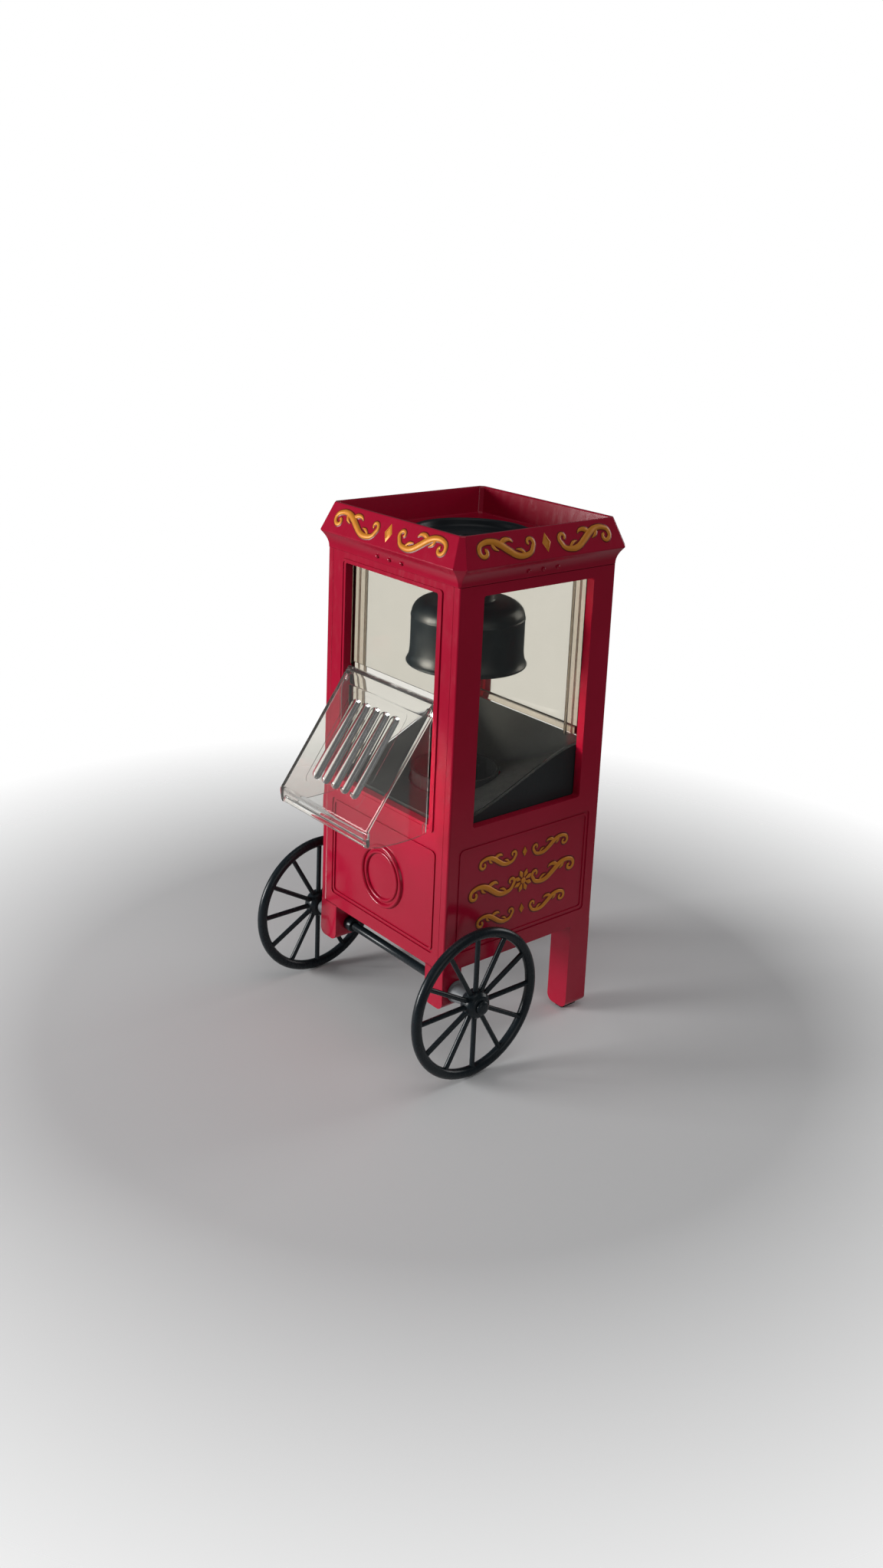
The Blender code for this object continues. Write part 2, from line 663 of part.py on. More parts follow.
def motor_bracket():
    """Three-legged spider that holds the motor in the duct."""
    ring = lathe("motor_bracket", [(14.4, 122.0), (18.0, 122.0), (18.0, 126.0), (14.4, 126.0)],
                 "Z", (0, -8, 0), 24, slate())
    bm = bmesh.new()
    for i in range(3):
        a = math.radians(90 + 120 * i)
        ca, sa = math.cos(a), math.sin(a)
        pts = [(16.5, -2.5), (DUCT_R - 2.5, -2.5), (DUCT_R - 2.5, 2.5), (16.5, 2.5)]
        add_prism(bm, [(r * ca - w * sa, -8 + r * sa + w * ca) for r, w in pts], "Z", 122.5, 125.5)
    fuse(ring, finish("bracket_arms", bm, slate()))
    return ring


def heater_frame():
    """Crossed mica boards that carry the heating coil."""
    t = 0.5
    return prism("heater_frame", [(t, -8 - t), (36, -8 - t), (36, -8 + t), (t, -8 + t), (t, 28),
                                  (-t, 28), (-t, -8 + t), (-36, -8 + t), (-36, -8 - t),
                                  (-t, -8 - t), (-t, -44), (t, -44)], "Z", 138.5, 154.0, mica())


def heating_element():
    """Helical heating coil wound round the outside of the mica cross."""
    turns, per, r, w = 3, 16, 38.0, 0.8
    bm = bmesh.new()
    rings = []
    total = turns * per
    for i in range(total + 1):
        a = 2 * math.pi * i / per
        z = 141.0 + 10.5 * i / total
        ring = []
        for j in range(5):
            b = 2 * math.pi * j / 5
            rad = r + w * math.cos(b)
            ring.append(bm.verts.new((rad * math.cos(a), -8 + rad * math.sin(a),
                                      z + w * math.sin(b))))
        rings.append(ring)
    for a, b in zip(rings, rings[1:]):
        for j in range(5):
            bm.faces.new((a[j], a[(j + 1) % 5], b[(j + 1) % 5], b[j]))
    bm.faces.new(rings[0])
    bm.faces.new(rings[-1])
    return finish("heating_element", bm, steel())


def thermostat():
    return lathe("thermostat", [(0, 0.4), (8.0, 0.4), (8.0, 5.0), (5.5, 6.5), (0, 6.5)], "X",
                 (DUCT_R, -8, 178), 20, black())


def thermal_fuse():
    return lathe("thermal_fuse", [(0, -6), (1.0, -6), (2.2, -5), (2.2, 5), (1.0, 6), (0, 6)], "Z",
                 (-DUCT_R - 2.7, -8, 172), 12, steel())


def rectifier_board():
    board = boxes("rectifier_board", [((-34, 62, 89.1), (-14, 64, 109))], mica())
    fuse(board, boxes("rectifier_parts", [((-31, 56, 96), (-25, 62.5, 104)),
                                          ((-22, 57, 95), (-17, 62.5, 101))], mica()))
    return board


def terminal_block():
    return boxes("terminal_block", [((20, 56, 89.1), (44, 66, 100))], mica())


def rocker_switch():
    """Rocker with one end pressed in, turning on a level pin."""
    cz, cy = 150.0, HALF_D
    pts = []
    for deg, r in ((200, 8.6), (225, 8.9), (250, 8.9), (270, 8.9), (290, 8.9), (315, 8.9), (340, 8.6)):
        a = math.radians(deg)
        pts.append((r * math.cos(a), r * math.sin(a)))
    pts += [(8.4, 0.6), (0.0, 2.4), (-8.3, 4.4)]
    outline = [(cy + v, cz + u) for u, v in pts]
    rocker = prism("rocker_switch", outline, "X", -46.0, -34.0, black())
    set_origin(rocker, -40, cy, cz)
    return rocker


def switch_bezel():
    """Switch body pushed through the rear panel from outside."""
    y = HALF_D
    bezel = boxes("switch_bezel", [((-47.2, 72, 139.8), (-32.8, y + 0.5, 160.2))], black())
    fuse(bezel, boxes("bezel_flange", [((-50, y + GAP, 137), (-30, y + 1.8, 163))], black()))
    cut(bezel, boxes("bezel_pocket", [((-46.5, 75, 140.8), (-33.5, y + 9, 159.2))], black()))
    return bezel


def cord_inlet():
    """Empty strain-relief bushing in the rear panel."""
    profile = [(3.0, -5.0), (5.2, -5.0), (5.2, 0.3), (7.5, 0.3), (7.5, 2.0), (6.0, 3.0), (4.8, 8.0),
               (3.0, 8.0)]
    return lathe("cord_inlet", profile, "Y", (40, HALF_D, 120), 20, black())


# ---------------------------------------------------------------- running gear
def wheel(name, s):
    """Twelve-spoke cart wheel with a round-section rim and a turned hub."""
    r = WHEEL_R
    rim = [(r - 9.0, 2.4), (r - 7.0, 4.4), (r - 2.6, 4.4), (r, 1.8), (r, -1.8), (r - 2.6, -4.4),
           (r - 7.0, -4.4), (r - 9.0, -2.4)]
    hub = [(HUB_R, -2.4), (HUB_R - 1.0, -HUB_HALF + 1), (HUB_R - 3.0, -HUB_HALF),
           (BORE_R, -HUB_HALF), (BORE_R, HUB_HALF), (HUB_R - 3.0, HUB_HALF),
           (HUB_R - 1.0, HUB_HALF - 1), (HUB_R, 2.4)]
    body = lathe(name, rim + hub, "X", (s * WHEEL_X, AXLE_Y, WHEEL_R), 32, black())
    bm = bmesh.new()
    r1, r2 = HUB_R + 1.2, r - 9.6
    for i in range(SPOKES):
        mid = 2 * math.pi * (i + 0.5) / SPOKES
        step = math.pi / SPOKES
        a1 = step - math.asin(SPOKE_W / 2 / r1)
        a2 = step - math.asin(SPOKE_W / 2 / r2)
        pts = [(r1, -a1), (r2, -a2), (r2 + 0.5, 0), (r2, a2), (r1, a1)]
        flat = [(AXLE_Y + q * math.cos(mid + a), WHEEL_R + q * math.sin(mid + a)) for q, a in pts]
        add_prism(bm, flat, "X", s * WHEEL_X - 10, s * WHEEL_X + 10)
    tool = finish(name + "_gaps", bm, black())
    cut(body, tool)
    return body


def front_axle():
    return lathe("front_axle", [(0, -120.4), (AXLE_R, -120.4), (AXLE_R, 120.4), (0, 120.4)], "X",
                 (0, AXLE_Y, WHEEL_R), 20, black())


def wheel_spacer(name, s):
    """Conical collar between leg and wheel hub."""
    x0, x1 = HALF_W + GAP, WHEEL_X - HUB_HALF - GAP
    profile = [(BORE_R, x0), (9.5, x0), (9.5, x0 + 2), (6.5, x1), (BORE_R, x1)]
    return lathe(name, [(r, s * x) for r, x in profile], "X", (0, AXLE_Y, WHEEL_R), 20, grey())


def hub_cap(name, s):
    x0 = WHEEL_X + HUB_HALF + GAP
    profile = [(0, x0), (6.0, x0), (6.0, x0 + 2.0), (4.0, x0 + 3.4), (0, x0 + 3.6)]
    return lathe(name, [(r, s * x) for r, x in profile], "X", (0, AXLE_Y, WHEEL_R), 20, black())


def axle_bush(name, s):
    x1 = HALF_W - LEG_W - GAP
    profile = [(BORE_R, x1 - 9), (6.0, x1 - 9), (6.5, x1 - 2), (6.5, x1), (BORE_R, x1)]
    return lathe(name, [(r, s * x) for r, x in profile], "X", (0, AXLE_Y, WHEEL_R), 20, black())


def foot_pad(name, s):
    x = s * (HALF_W - LEG_W / 2)
    y = HALF_D - REAR_LEG_D / 2
    outline = [(x + px, y + py) for px, py in rounded_square(4.6, 9.0, 1.5, 2)]
    return prism(name, outline, "Z", 0.0, REAR_LEG_LOW - GAP, rubber())


def screw(name, axis, centre, flip):
    """Pan-head screw: head outside, shank into its boss."""
    profile = [(0, -2.0), (2.4, -2.0), (3.2, -1.2), (3.2, -0.3), (1.5, -0.3), (1.5, 6.5), (0, 6.5)]
    return lathe(name, [(r, flip * h) for r, h in profile], axis, centre, 10, steel())


def build():
    for old in list(bpy.data.objects):
        bpy.data.objects.remove(old, do_unlink=True)
    side_panel("right_side_panel", 1)
    side_panel("left_side_panel", -1)
    front_panel()
    rear_panel()
    bottom_plate()
    canopy_tray()
    ceiling_plate()
    kernel_funnel()
    kernel_lid()
    kettle_housing()
    window_liner()
    hood = chute_hood()
    set_origin(hood, 0, HOOD_AXIS[0], HOOD_AXIS[1])
    hood_pin("left_hood_pin", -1)
    hood_pin("right_hood_pin", 1)
    popcorn_slide()
    popping_chamber()
    air_duct()
    fan_impeller()
    motor_shaft()
    motor_housing()
    motor_bracket()
    heater_frame()
    heating_element()
    thermostat()
    thermal_fuse()
    rectifier_board()
    terminal_block()
    switch_bezel()
    rocker_switch()
    cord_inlet()
    for side, s in (("left", -1), ("right", 1)):
        turning = wheel(side + "_wheel", s)
        set_origin(turning, s * WHEEL_X, AXLE_Y, WHEEL_R)
        wheel_spacer(side + "_wheel_spacer", s)
        hub_cap(side + "_hub_cap", s)
        axle_bush(side + "_axle_bush", s)
        foot_pad(side + "_foot_pad", s)
    front_axle()
    n = 1
    for x in (-46, 46):
        for y in (-46, 46):
            screw("base_screw_%d" % n, "Z", (x, y, BODY_LOW), 1)
            n += 1
    n = 1
    for x in (-75, 75):
        for z in (110, 193):
            screw("rear_screw_%d" % n, "Y", (x, HALF_D + 0.3, z), -1)
            n += 1
    for obj in bpy.data.objects:
        obj.location.y += SET_BACK * MM
    shade_round()


def shade_round():
    """Keep crisp creases on the round pieces that carry Boolean cuts."""
    for obj in bpy.data.objects:
        if obj.type == 'MESH' and not obj.hide_render and obj.name.endswith("_wheel"):
            obj.data.set_sharp_from_angle(angle=math.radians(40))


build()
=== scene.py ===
import math

import bmesh
import bpy
from mathutils import Matrix, Vector


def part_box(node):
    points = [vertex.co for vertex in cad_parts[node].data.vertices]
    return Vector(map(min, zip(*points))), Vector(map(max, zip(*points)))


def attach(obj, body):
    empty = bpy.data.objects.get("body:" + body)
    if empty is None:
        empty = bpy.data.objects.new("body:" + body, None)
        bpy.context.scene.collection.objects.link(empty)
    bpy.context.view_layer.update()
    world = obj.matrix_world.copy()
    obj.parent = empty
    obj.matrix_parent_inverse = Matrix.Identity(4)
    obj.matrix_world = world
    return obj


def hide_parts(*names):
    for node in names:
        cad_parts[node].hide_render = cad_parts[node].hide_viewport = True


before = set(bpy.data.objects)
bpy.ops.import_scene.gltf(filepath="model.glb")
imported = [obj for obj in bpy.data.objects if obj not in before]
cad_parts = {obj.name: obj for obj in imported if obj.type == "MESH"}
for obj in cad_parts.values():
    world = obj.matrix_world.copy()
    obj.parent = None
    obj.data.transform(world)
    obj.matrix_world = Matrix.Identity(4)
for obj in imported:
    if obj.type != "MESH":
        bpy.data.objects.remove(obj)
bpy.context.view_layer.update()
bpy.ops.object.select_all(action="DESELECT")


# Studio: a pale round table that fades into a white surround, one large soft lamp low at the
# front left, weak ones overhead, on the right and behind, and the camera looking down a little
# over the right front corner.
def new_finish(name):
    """A new material, its nodes, its links and its shader."""
    finish = bpy.data.materials.new(name)
    finish.use_nodes = True
    nodes = finish.node_tree.nodes
    return finish, nodes, finish.node_tree.links, nodes["Principled BSDF"]


def add_node(nodes, kind, **values):
    """A shader node with values on its sockets: to_max=1 sets the one called To Max."""
    made = nodes.new("ShaderNode" + kind)
    for socket, value in values.items():
        made.inputs[socket.replace("_", " ").title()].default_value = value
    return made


def wire(links, *runs):
    """Joins sockets, each run from a node's output to another node's input."""
    for source, output, target, entry in runs:
        links.new(source.outputs[output], target.inputs[entry])


bpy.ops.mesh.primitive_circle_add(vertices=96, radius=0.8, fill_type="NGON", location=(0, 0, 0))
table = bpy.context.object
table.name = "studio_table"
bpy.ops.object.mode_set(mode="EDIT")
bpy.ops.mesh.select_all(action="SELECT")
bpy.ops.mesh.inset(thickness=0.3)
bpy.ops.object.mode_set(mode="OBJECT")
table_white, nodes, links, shader = new_finish("table_white")
shader.inputs["Base Color"].default_value = (0.80, 0.80, 0.80, 1)
shader.inputs["Roughness"].default_value = 0.7
spot = add_node(nodes, "TexCoord")
reach = add_node(nodes, "VectorMath")
reach.operation = "LENGTH"
fade = add_node(nodes, "MapRange", from_min=0.34, from_max=0.72, to_min=1.0, to_max=0.0)
wire(links, (spot, "Object", reach, 0), (reach, "Value", fade, "Value"), (fade, "Result", shader, "Alpha"))
table.data.materials.append(table_white)

# The white is seen straight on or through clear plastic; bounced rays meet a dim cool room.
surround = bpy.data.worlds.new("surround")
surround.use_nodes = True
nodes, links = surround.node_tree.nodes, surround.node_tree.links
nodes.clear()
seen = add_node(nodes, "Background", color=(1, 1, 1, 1), strength=1.0)
room = add_node(nodes, "Background", color=(0.80, 0.84, 0.88, 1), strength=0.10)
path = add_node(nodes, "LightPath")
both = add_node(nodes, "MixShader")
out = add_node(nodes, "OutputWorld")
bounces, straight, through, direct = [add_node(nodes, "Math") for step in range(4)]
bounces.operation = "ADD"
straight.operation = "LESS_THAN"
straight.inputs[1].default_value = 0.5
through.operation = "MULTIPLY"
direct.operation = "MAXIMUM"
wire(links, (path, "Diffuse Depth", bounces, 0), (path, "Glossy Depth", bounces, 1),
     (bounces, 0, straight, 0), (straight, 0, through, 0), (path, "Is Transmission Ray", through, 1),
     (through, 0, direct, 0), (path, "Is Camera Ray", direct, 1), (direct, 0, both, "Fac"),
     (room, 0, both, 1), (seen, 0, both, 2), (both, 0, out, "Surface"))
bpy.context.scene.world = surround

for name, spot, aim, size, power in (
        ("key_lamp", (-1.2, -2.0, 0.48), (0, 0, 0.26), 0.8, 58),
        ("top_lamp", (0.25, -0.1, 1.75), (0, 0, 0.2), 1.2, 4),
        ("side_lamp", (1.9, -0.45, 0.7), (0, 0, 0.24), 1.2, 5.2),
        ("back_lamp", (0.35, 2.2, 0.85), (0, 0, 0.2), 1.0, 12)):
    bpy.ops.object.light_add(type="AREA", location=spot)
    lamp = bpy.context.object
    lamp.name = name
    lamp.data.size = size
    lamp.data.energy = power
    lamp.rotation_euler = (Vector(aim) - Vector(spot)).to_track_quat("-Z", "Y").to_euler()

bpy.ops.object.camera_add()
camera = bpy.context.object
turn_z, tip, roll = math.radians(49.78), math.radians(14.94), math.radians(2.37)
ahead = Vector((-math.sin(turn_z) * math.cos(tip), math.cos(turn_z) * math.cos(tip), -math.sin(tip)))
side = ahead.cross(Vector((0, 0, 1))).normalized()
up = side.cross(ahead)
side, up = (side * math.cos(roll) + up * math.sin(roll), up * math.cos(roll) - side * math.sin(roll))
stand = (0.8961, -0.7649, 0.6797)
camera.matrix_world = (Matrix.Translation(stand)
                       @ Matrix((side, up, -ahead)).transposed().to_4x4())
camera.data.lens = 32.95
camera.data.sensor_width = 36
camera.data.shift_x = 0.0027
camera.data.shift_y = -0.107
bpy.context.scene.camera = camera
bpy.context.scene.view_settings.view_transform = "Standard"


# Side walls: injection moulded in glossy red plastic, one piece each. A wall wraps round the
# two corner edges, holds the side window in a deep reveal, and runs down into a short front
# leg, which carries the axle, and a longer rear leg. The rear panel screws into two tabs.
setback = 27.85


def at(x, y, z):
    """A point in millimetres from the cabinet's centre line, which stands back from the origin."""
    return Vector((x, y + setback, z)) / 1000


def only(piece):
    """Selects this piece and nothing else."""
    if bpy.context.mode != "OBJECT":
        bpy.ops.object.mode_set(mode="OBJECT")
    bpy.ops.object.select_all(action="DESELECT")
    piece.select_set(True)
    bpy.context.view_layer.objects.active = piece


def slab(middle, size, turn=(0, 0, 0)):
    """A squared block in metres, turned about its middle."""
    bpy.ops.object.select_all(action="DESELECT")
    bpy.ops.mesh.primitive_cube_add(size=1, location=middle, scale=size, rotation=turn)
    bpy.ops.object.transform_apply()
    return bpy.context.object


def block(name, corner, far_corner):
    """A block between two opposite corners."""
    corner, far_corner = at(*corner), at(*far_corner)
    piece = slab((corner + far_corner) / 2, [abs(side) for side in far_corner - corner])
    piece.name = name
    return piece


def rod(sides, radius, length, middle, turn=(0, 0, 0)):
    """A plain round bar, radius and length in millimetres, standing unless turned."""
    bpy.ops.object.select_all(action="DESELECT")
    bpy.ops.mesh.primitive_cylinder_add(vertices=sides, radius=radius / 1000, depth=length / 1000,
                                        location=middle, rotation=turn)
    return bpy.context.object


def round_edges(piece, along, radius, steps=5, where=lambda middle: True):
    """Rounds the edges that run along one axis or direction, where their middles suit."""
    along = Vector([axis == along for axis in "XYZ"] if isinstance(along, str) else along).normalized()
    only(piece)
    bpy.ops.object.mode_set(mode="EDIT")
    bpy.ops.mesh.select_mode(type="EDGE")
    bpy.ops.mesh.select_all(action="DESELECT")
    mesh = bmesh.from_edit_mesh(piece.data)
    for edge in mesh.edges:
        run = edge.verts[1].co - edge.verts[0].co
        middle = (edge.verts[0].co + edge.verts[1].co) * 500 - Vector((0, setback, 0))
        if abs(run.dot(along)) > 0.999 * run.length and where(middle):
            edge.select = True
    mesh.select_flush_mode()
    bmesh.update_edit_mesh(piece.data)
    bpy.ops.mesh.bevel(offset=radius / 1000, segments=steps, affect="EDGES")
    bpy.ops.object.mode_set(mode="OBJECT")
    return piece


def modify(piece, kind, **settings):
    """Adds one modifier, sets it and applies it."""
    only(piece)
    bpy.ops.object.modifier_add(type=kind)
    modifier = piece.modifiers[-1]
    for setting, value in settings.items():
        setattr(modifier, setting, value)
    bpy.ops.object.modifier_apply(modifier=modifier.name)
    return piece


def work(piece, tools, operation):
    """Cuts or fuses each tool in turn, removes it, and merges the doubles left behind."""
    for tool in tools:
        modify(piece, "BOOLEAN", object=tool, operation=operation, solver="EXACT")
        bpy.data.objects.remove(tool)
    only(piece)
    bpy.ops.object.mode_set(mode="EDIT")
    bpy.ops.mesh.select_all(action="SELECT")
    bpy.ops.mesh.remove_doubles(threshold=0.00001)
    bpy.ops.object.mode_set(mode="OBJECT")
    return piece


def carve(piece, *tools):
    return work(piece, tools, "DIFFERENCE")


def build_on(piece, *tools):
    return work(piece, tools, "UNION")


def soften(piece, width=0.4, steps=2, angle=35):
    """The small radius that a mould leaves on every edge, with the flats kept flat."""
    modify(piece, "BEVEL", width=width / 1000, segments=steps, limit_method="ANGLE",
           angle_limit=math.radians(angle), miter_outer="MITER_ARC")
    only(piece)
    bpy.ops.object.shade_smooth_by_angle(angle=math.radians(38))
    modify(piece, "WEIGHTED_NORMAL", keep_sharp=True, weight=60)
    return piece


def face_out(piece):
    """Turns every face outwards."""
    only(piece)
    bpy.ops.object.mode_set(mode="EDIT")
    bpy.ops.mesh.select_all(action="SELECT")
    bpy.ops.mesh.normals_make_consistent(inside=False)
    bpy.ops.object.mode_set(mode="OBJECT")
    return piece


def mirrored(piece, name):
    """The same piece handed for the other side, with its own mesh."""
    only(piece)
    bpy.ops.object.duplicate()
    other = bpy.context.object
    other.name = name
    other.scale = (-1, 1, 1)
    bpy.ops.object.transform_apply(location=False, rotation=False, scale=True)
    return face_out(other)


def two_tones(nodes, first, second, low=0.3, high=0.7):
    """A ramp from one colour to another between two places."""
    ramp = nodes.new("ShaderNodeValToRGB")
    for end, place, colour in zip(ramp.color_ramp.elements, (low, high), (first, second)):
        end.position = place
        end.color = (*colour, 1)
    return ramp


def plastic(name, colour, second, rough, grain=0.05, scuffs=0.06, gloss=0.3, metal=0.0):
    """A moulded surface: slow colour drift, a fine skin in the bump, and faint rubbed patches."""
    finish, nodes, links, shader = new_finish(name)
    spot = add_node(nodes, "TexCoord")
    drift = add_node(nodes, "TexNoise", scale=14, detail=5, roughness=0.6)
    tones = two_tones(nodes, second, colour)
    stretch = add_node(nodes, "Mapping", scale=(60, 60, 18), rotation=(0.05, 0.03, 0.2))
    rub = add_node(nodes, "TexNoise", scale=3.2, detail=6, roughness=0.72)
    wear = add_node(nodes, "MapRange", from_min=0.48, from_max=0.78, to_min=rough, to_max=rough + scuffs * 3)
    skin = add_node(nodes, "TexNoise", scale=420, detail=3)
    bump = add_node(nodes, "Bump", strength=grain, distance=0.0004)
    wire(links, (spot, "Object", drift, "Vector"), (drift, "Fac", tones, "Fac"),
         (tones, "Color", shader, "Base Color"), (spot, "Object", stretch, "Vector"),
         (stretch, "Vector", rub, "Vector"), (rub, "Fac", wear, "Value"),
         (wear, "Result", shader, "Roughness"), (spot, "Object", skin, "Vector"),
         (skin, "Fac", bump, "Height"), (bump, "Normal", shader, "Normal"))
    shader.inputs["Metallic"].default_value = metal
    shader.inputs["Specular IOR Level"].default_value = gloss
    return finish


def ring(along, low, high, width, radius, inner_radius):
    """A flat bead that runs round a rounded oblong, facing along one axis."""
    bead = round_edges(block("bead", low, high), along, radius)
    inset = [-5 if axis == along else width for axis in "XYZ"]
    inside = block("inside", [a + b for a, b in zip(low, inset)], [a - b for a, b in zip(high, inset)])
    return carve(bead, round_edges(inside, along, inner_radius))


def paint(piece, finish):
    piece.data.materials.clear()
    piece.data.materials.append(finish)


red_gloss = plastic("red_gloss", (0.40, 0.005, 0.032), (0.35, 0.004, 0.025), 0.17, 0.05, 0.04, 0.34)

wall = block("right_wall", (80, -86.5, 86), (87.5, 86.5, 415.7))
round_edges(wall, "Z", 2.0, 4, lambda m: m.x > 87)
hollow = block("hollow", (70, -84, 80), (85, 84, 420))
carve(wall, hollow)
reveal = block("reveal", (79.6, -63.6, 208.2), (86.5, 63.6, 409))
round_edges(reveal, "X", 4.0)
front_leg = block("front_leg", (64, -86.5, 51.7), (87.5, -66.5, 87))
rear_leg = block("rear_leg", (64, 62, 3.5), (87.5, 86.5, 87))
for leg in (front_leg, rear_leg):
    round_edges(leg, "Y", 7.0, 7, lambda m: m.z < 60)
    round_edges(leg, "Z", 1.6, 4, lambda m: m.x > 87 and abs(m.y) > 80)
build_on(wall, reveal, front_leg, rear_leg)
for low in (105, 188):
    build_on(wall, block("tab", (70, 77.5, low), (86, 83.7, low + 10)))
window = block("window", (70, -61.3, 210.5), (95, 61.3, 406.7))
round_edges(window, "X", 2.2)
field = block("field", (86.5, -75.5, 100), (95, 75.5, 195))
round_edges(field, "X", 3.5)
carve(wall, window, field)
axle_y, axle_z = -72, 66.5
along_x = (0, math.pi / 2, 0)
carve(wall, rod(40, 4.4, 60, at(78, axle_y, axle_z), along_x))
build_on(wall, ring("X", (86.2, -73.4, 102.1), (87.35, 73.4, 192.9), 1.8, 4.6, 3.0))
soften(wall, 0.45, 3)
paint(wall, red_gloss)
other_wall = mirrored(wall, "left_wall")
for piece, node in ((wall, "right_side_panel"), (other_wall, "left_side_panel")):
    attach(piece, "cabinet")
    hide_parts(node)


# Front frame: moulded in the same red and snapped between the two corner edges. A raised bead
# runs round the window, and a sunk field below it holds a round medallion. The two bosses at
# the sides of the window take the pins of the chute hood.
def turned(name, profile, along, centre, steps=64):
    """A shape turned on a lathe: radius and height of its outline, spun round an axis."""
    axis = "XYZ".index(along)
    centre = at(*centre)
    bpy.ops.object.select_all(action="DESELECT")
    bpy.ops.mesh.primitive_circle_add(vertices=len(profile), radius=0.01, fill_type="NOTHING")
    piece = bpy.context.object
    piece.name = name
    for corner, (radius, height) in zip(piece.data.vertices, profile):
        corner.co = (0, 0, 0)
        corner.co[axis] = height / 1000
        corner.co[(axis + 1) % 3] = radius / 1000
        corner.co += centre
    spindle = Vector((0, 0, 0))
    spindle[axis] = 1
    bpy.ops.object.mode_set(mode="EDIT")
    bpy.ops.mesh.select_all(action="SELECT")
    bpy.ops.mesh.spin(steps=steps, angle=math.tau, center=centre, axis=spindle)
    bpy.ops.mesh.select_all(action="SELECT")
    bpy.ops.mesh.remove_doubles(threshold=0.000002)
    bpy.ops.mesh.dissolve_degenerate(threshold=0.000002)
    bpy.ops.mesh.delete_loose()
    face_out(piece)
    bpy.ops.object.transform_apply()
    bpy.ops.object.shade_smooth_by_angle(angle=math.radians(40))
    return piece


def curl(u, v, first, last, start, end, steps):
    """Points along a curl whose radius goes from first to last, angles in degrees."""
    shares = [i / steps for i in range(steps + 1)]
    run = [(first + (last - first) * t, math.radians(start + (end - start) * t)) for t in shares]
    return [(u + radius * math.cos(turn), v + radius * math.sin(turn)) for radius, turn in run]


def arc(u, v, radius, start, end, steps):
    """Points along an arc, angles in degrees."""
    return curl(u, v, radius, radius, start, end, steps)


def join(piece, *others):
    """Makes one object of pieces that are fused together in the mould."""
    only(piece)
    for other in others:
        other.select_set(True)
    bpy.ops.object.join()
    return piece


def framed(name, out):
    """A wall with a window in a deep reveal and a raised bead round it, facing -Y or +Y."""
    frame_wall = block(name, (-79.7, out * 86.5, 86.3), (79.7, out * 84, 415.7))
    bead = round_edges(block("bead", (-67, out * 87.7, 205), (67, out * 85.5, 410.2)), "Y", 3.2)
    reveal = round_edges(block("reveal", (-63.4, out * 86, 208.4), (63.4, out * 79.4, 408.8)), "Y", 3.2)
    build_on(frame_wall, bead, reveal)
    window = round_edges(block("window", (-61.3, out * 95, 210.5), (61.3, out * 70, 406.7)), "Y", 1.8)
    step = round_edges(block("step", (-64.2, out * 95, 207.6), (64.2, out * 87.0, 408.0)), "Y", 2.2)
    return carve(frame_wall, window, step)


front = framed("front_frame", -1)
field = block("field", (-72, -95, 98), (72, -85.3, 191))
round_edges(field, "Y", 3.5)
carve(front, field)
build_on(front, ring("Y", (-70.2, -86.5, 99.8), (70.2, -85.0, 189.2), 1.8, 4.5, 3.0))
hinge_y, hinge_z = -81, 311
for s in (-1, 1):
    boss = block("boss", (s * 62, -85.5, 305), (s * 70, -77.6, 317))
    round_edges(boss, "X", 3.0, 4, lambda m: m.y > -80)
    build_on(front, boss)
    carve(front, rod(24, 1.85, 18, at(s * 66, hinge_y, hinge_z), along_x))
soften(front, 0.4, 3)
medallion = turned("medallion", [(0, -85.9), (6, -85.85), (12, -85.6), (17, -85.3), (19.6, -85.1)]
                   + arc(21.6, -86.0, 1.5, 150, 360, 8) + [(23.4, -85.9), (25.0, -85.8)]
                   + arc(26.8, -86.2, 1.75, 180, 360, 9) + [(29.0, -85.6), (29.0, -84.5), (0, -84.5)],
                   "Y", (0, 0, 141), 96)
join(front, medallion)
paint(front, red_gloss)
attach(front, "cabinet")
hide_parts("front_panel")


# Canopy: one red moulding glued to the top of the walls. A hollow cove flares out to a sharp
# fold, the slanted face above it leans back in to the rim, and inside the rim a shallow tray
# with a round mouth takes the kernels. Three small pips stand in the middle of each cove.
def take_end(piece, downwards=False):
    """Selects the top or bottom face in edit mode and gives its height."""
    only(piece)
    bpy.ops.object.mode_set(mode="EDIT")
    bpy.ops.mesh.select_mode(type="FACE")
    bpy.ops.mesh.select_all(action="DESELECT")
    mesh = bmesh.from_edit_mesh(piece.data)
    end = sorted(mesh.faces, key=lambda face: face.calc_center_median().z)[0 if downwards else -1]
    end.select = True
    height = end.calc_center_median().z
    bmesh.update_edit_mesh(piece.data)
    return height


def pulled(piece, rings, downwards=False):
    """Pulls the top or bottom face on, ring by ring: half width, corner cut and height."""
    take_end(piece, downwards)
    for half, cut, height in rings:
        bpy.ops.mesh.extrude_region_move()
        mesh = bmesh.from_edit_mesh(piece.data)
        for corner in [v for v in mesh.verts if v.select]:
            x, y = corner.co.x, corner.co.y - setback / 1000
            a, b = (half, half - cut) if abs(x) > abs(y) else (half - cut, half)
            corner.co = at(math.copysign(a, x), math.copysign(b, y), height)
        bmesh.update_edit_mesh(piece.data)
    return face_out(piece)


def copied(piece, move):
    """A copy with its own mesh, moved or turned."""
    only(piece)
    bpy.ops.object.duplicate()
    copy = bpy.context.object
    copy.matrix_world = move @ copy.matrix_world
    bpy.ops.object.transform_apply()
    return copy


def about(spot, turn, axis):
    """A turn in degrees about an axis through a point."""
    return Matrix.Translation(spot) @ Matrix.Rotation(math.radians(turn), 4, axis) @ Matrix.Translation(-spot)


def turned_copies(piece, turns):
    """Copies of a piece turned about the cabinet's centre line."""
    return [copied(piece, about(at(0, 0, 0), turn, "Z")) for turn in turns]


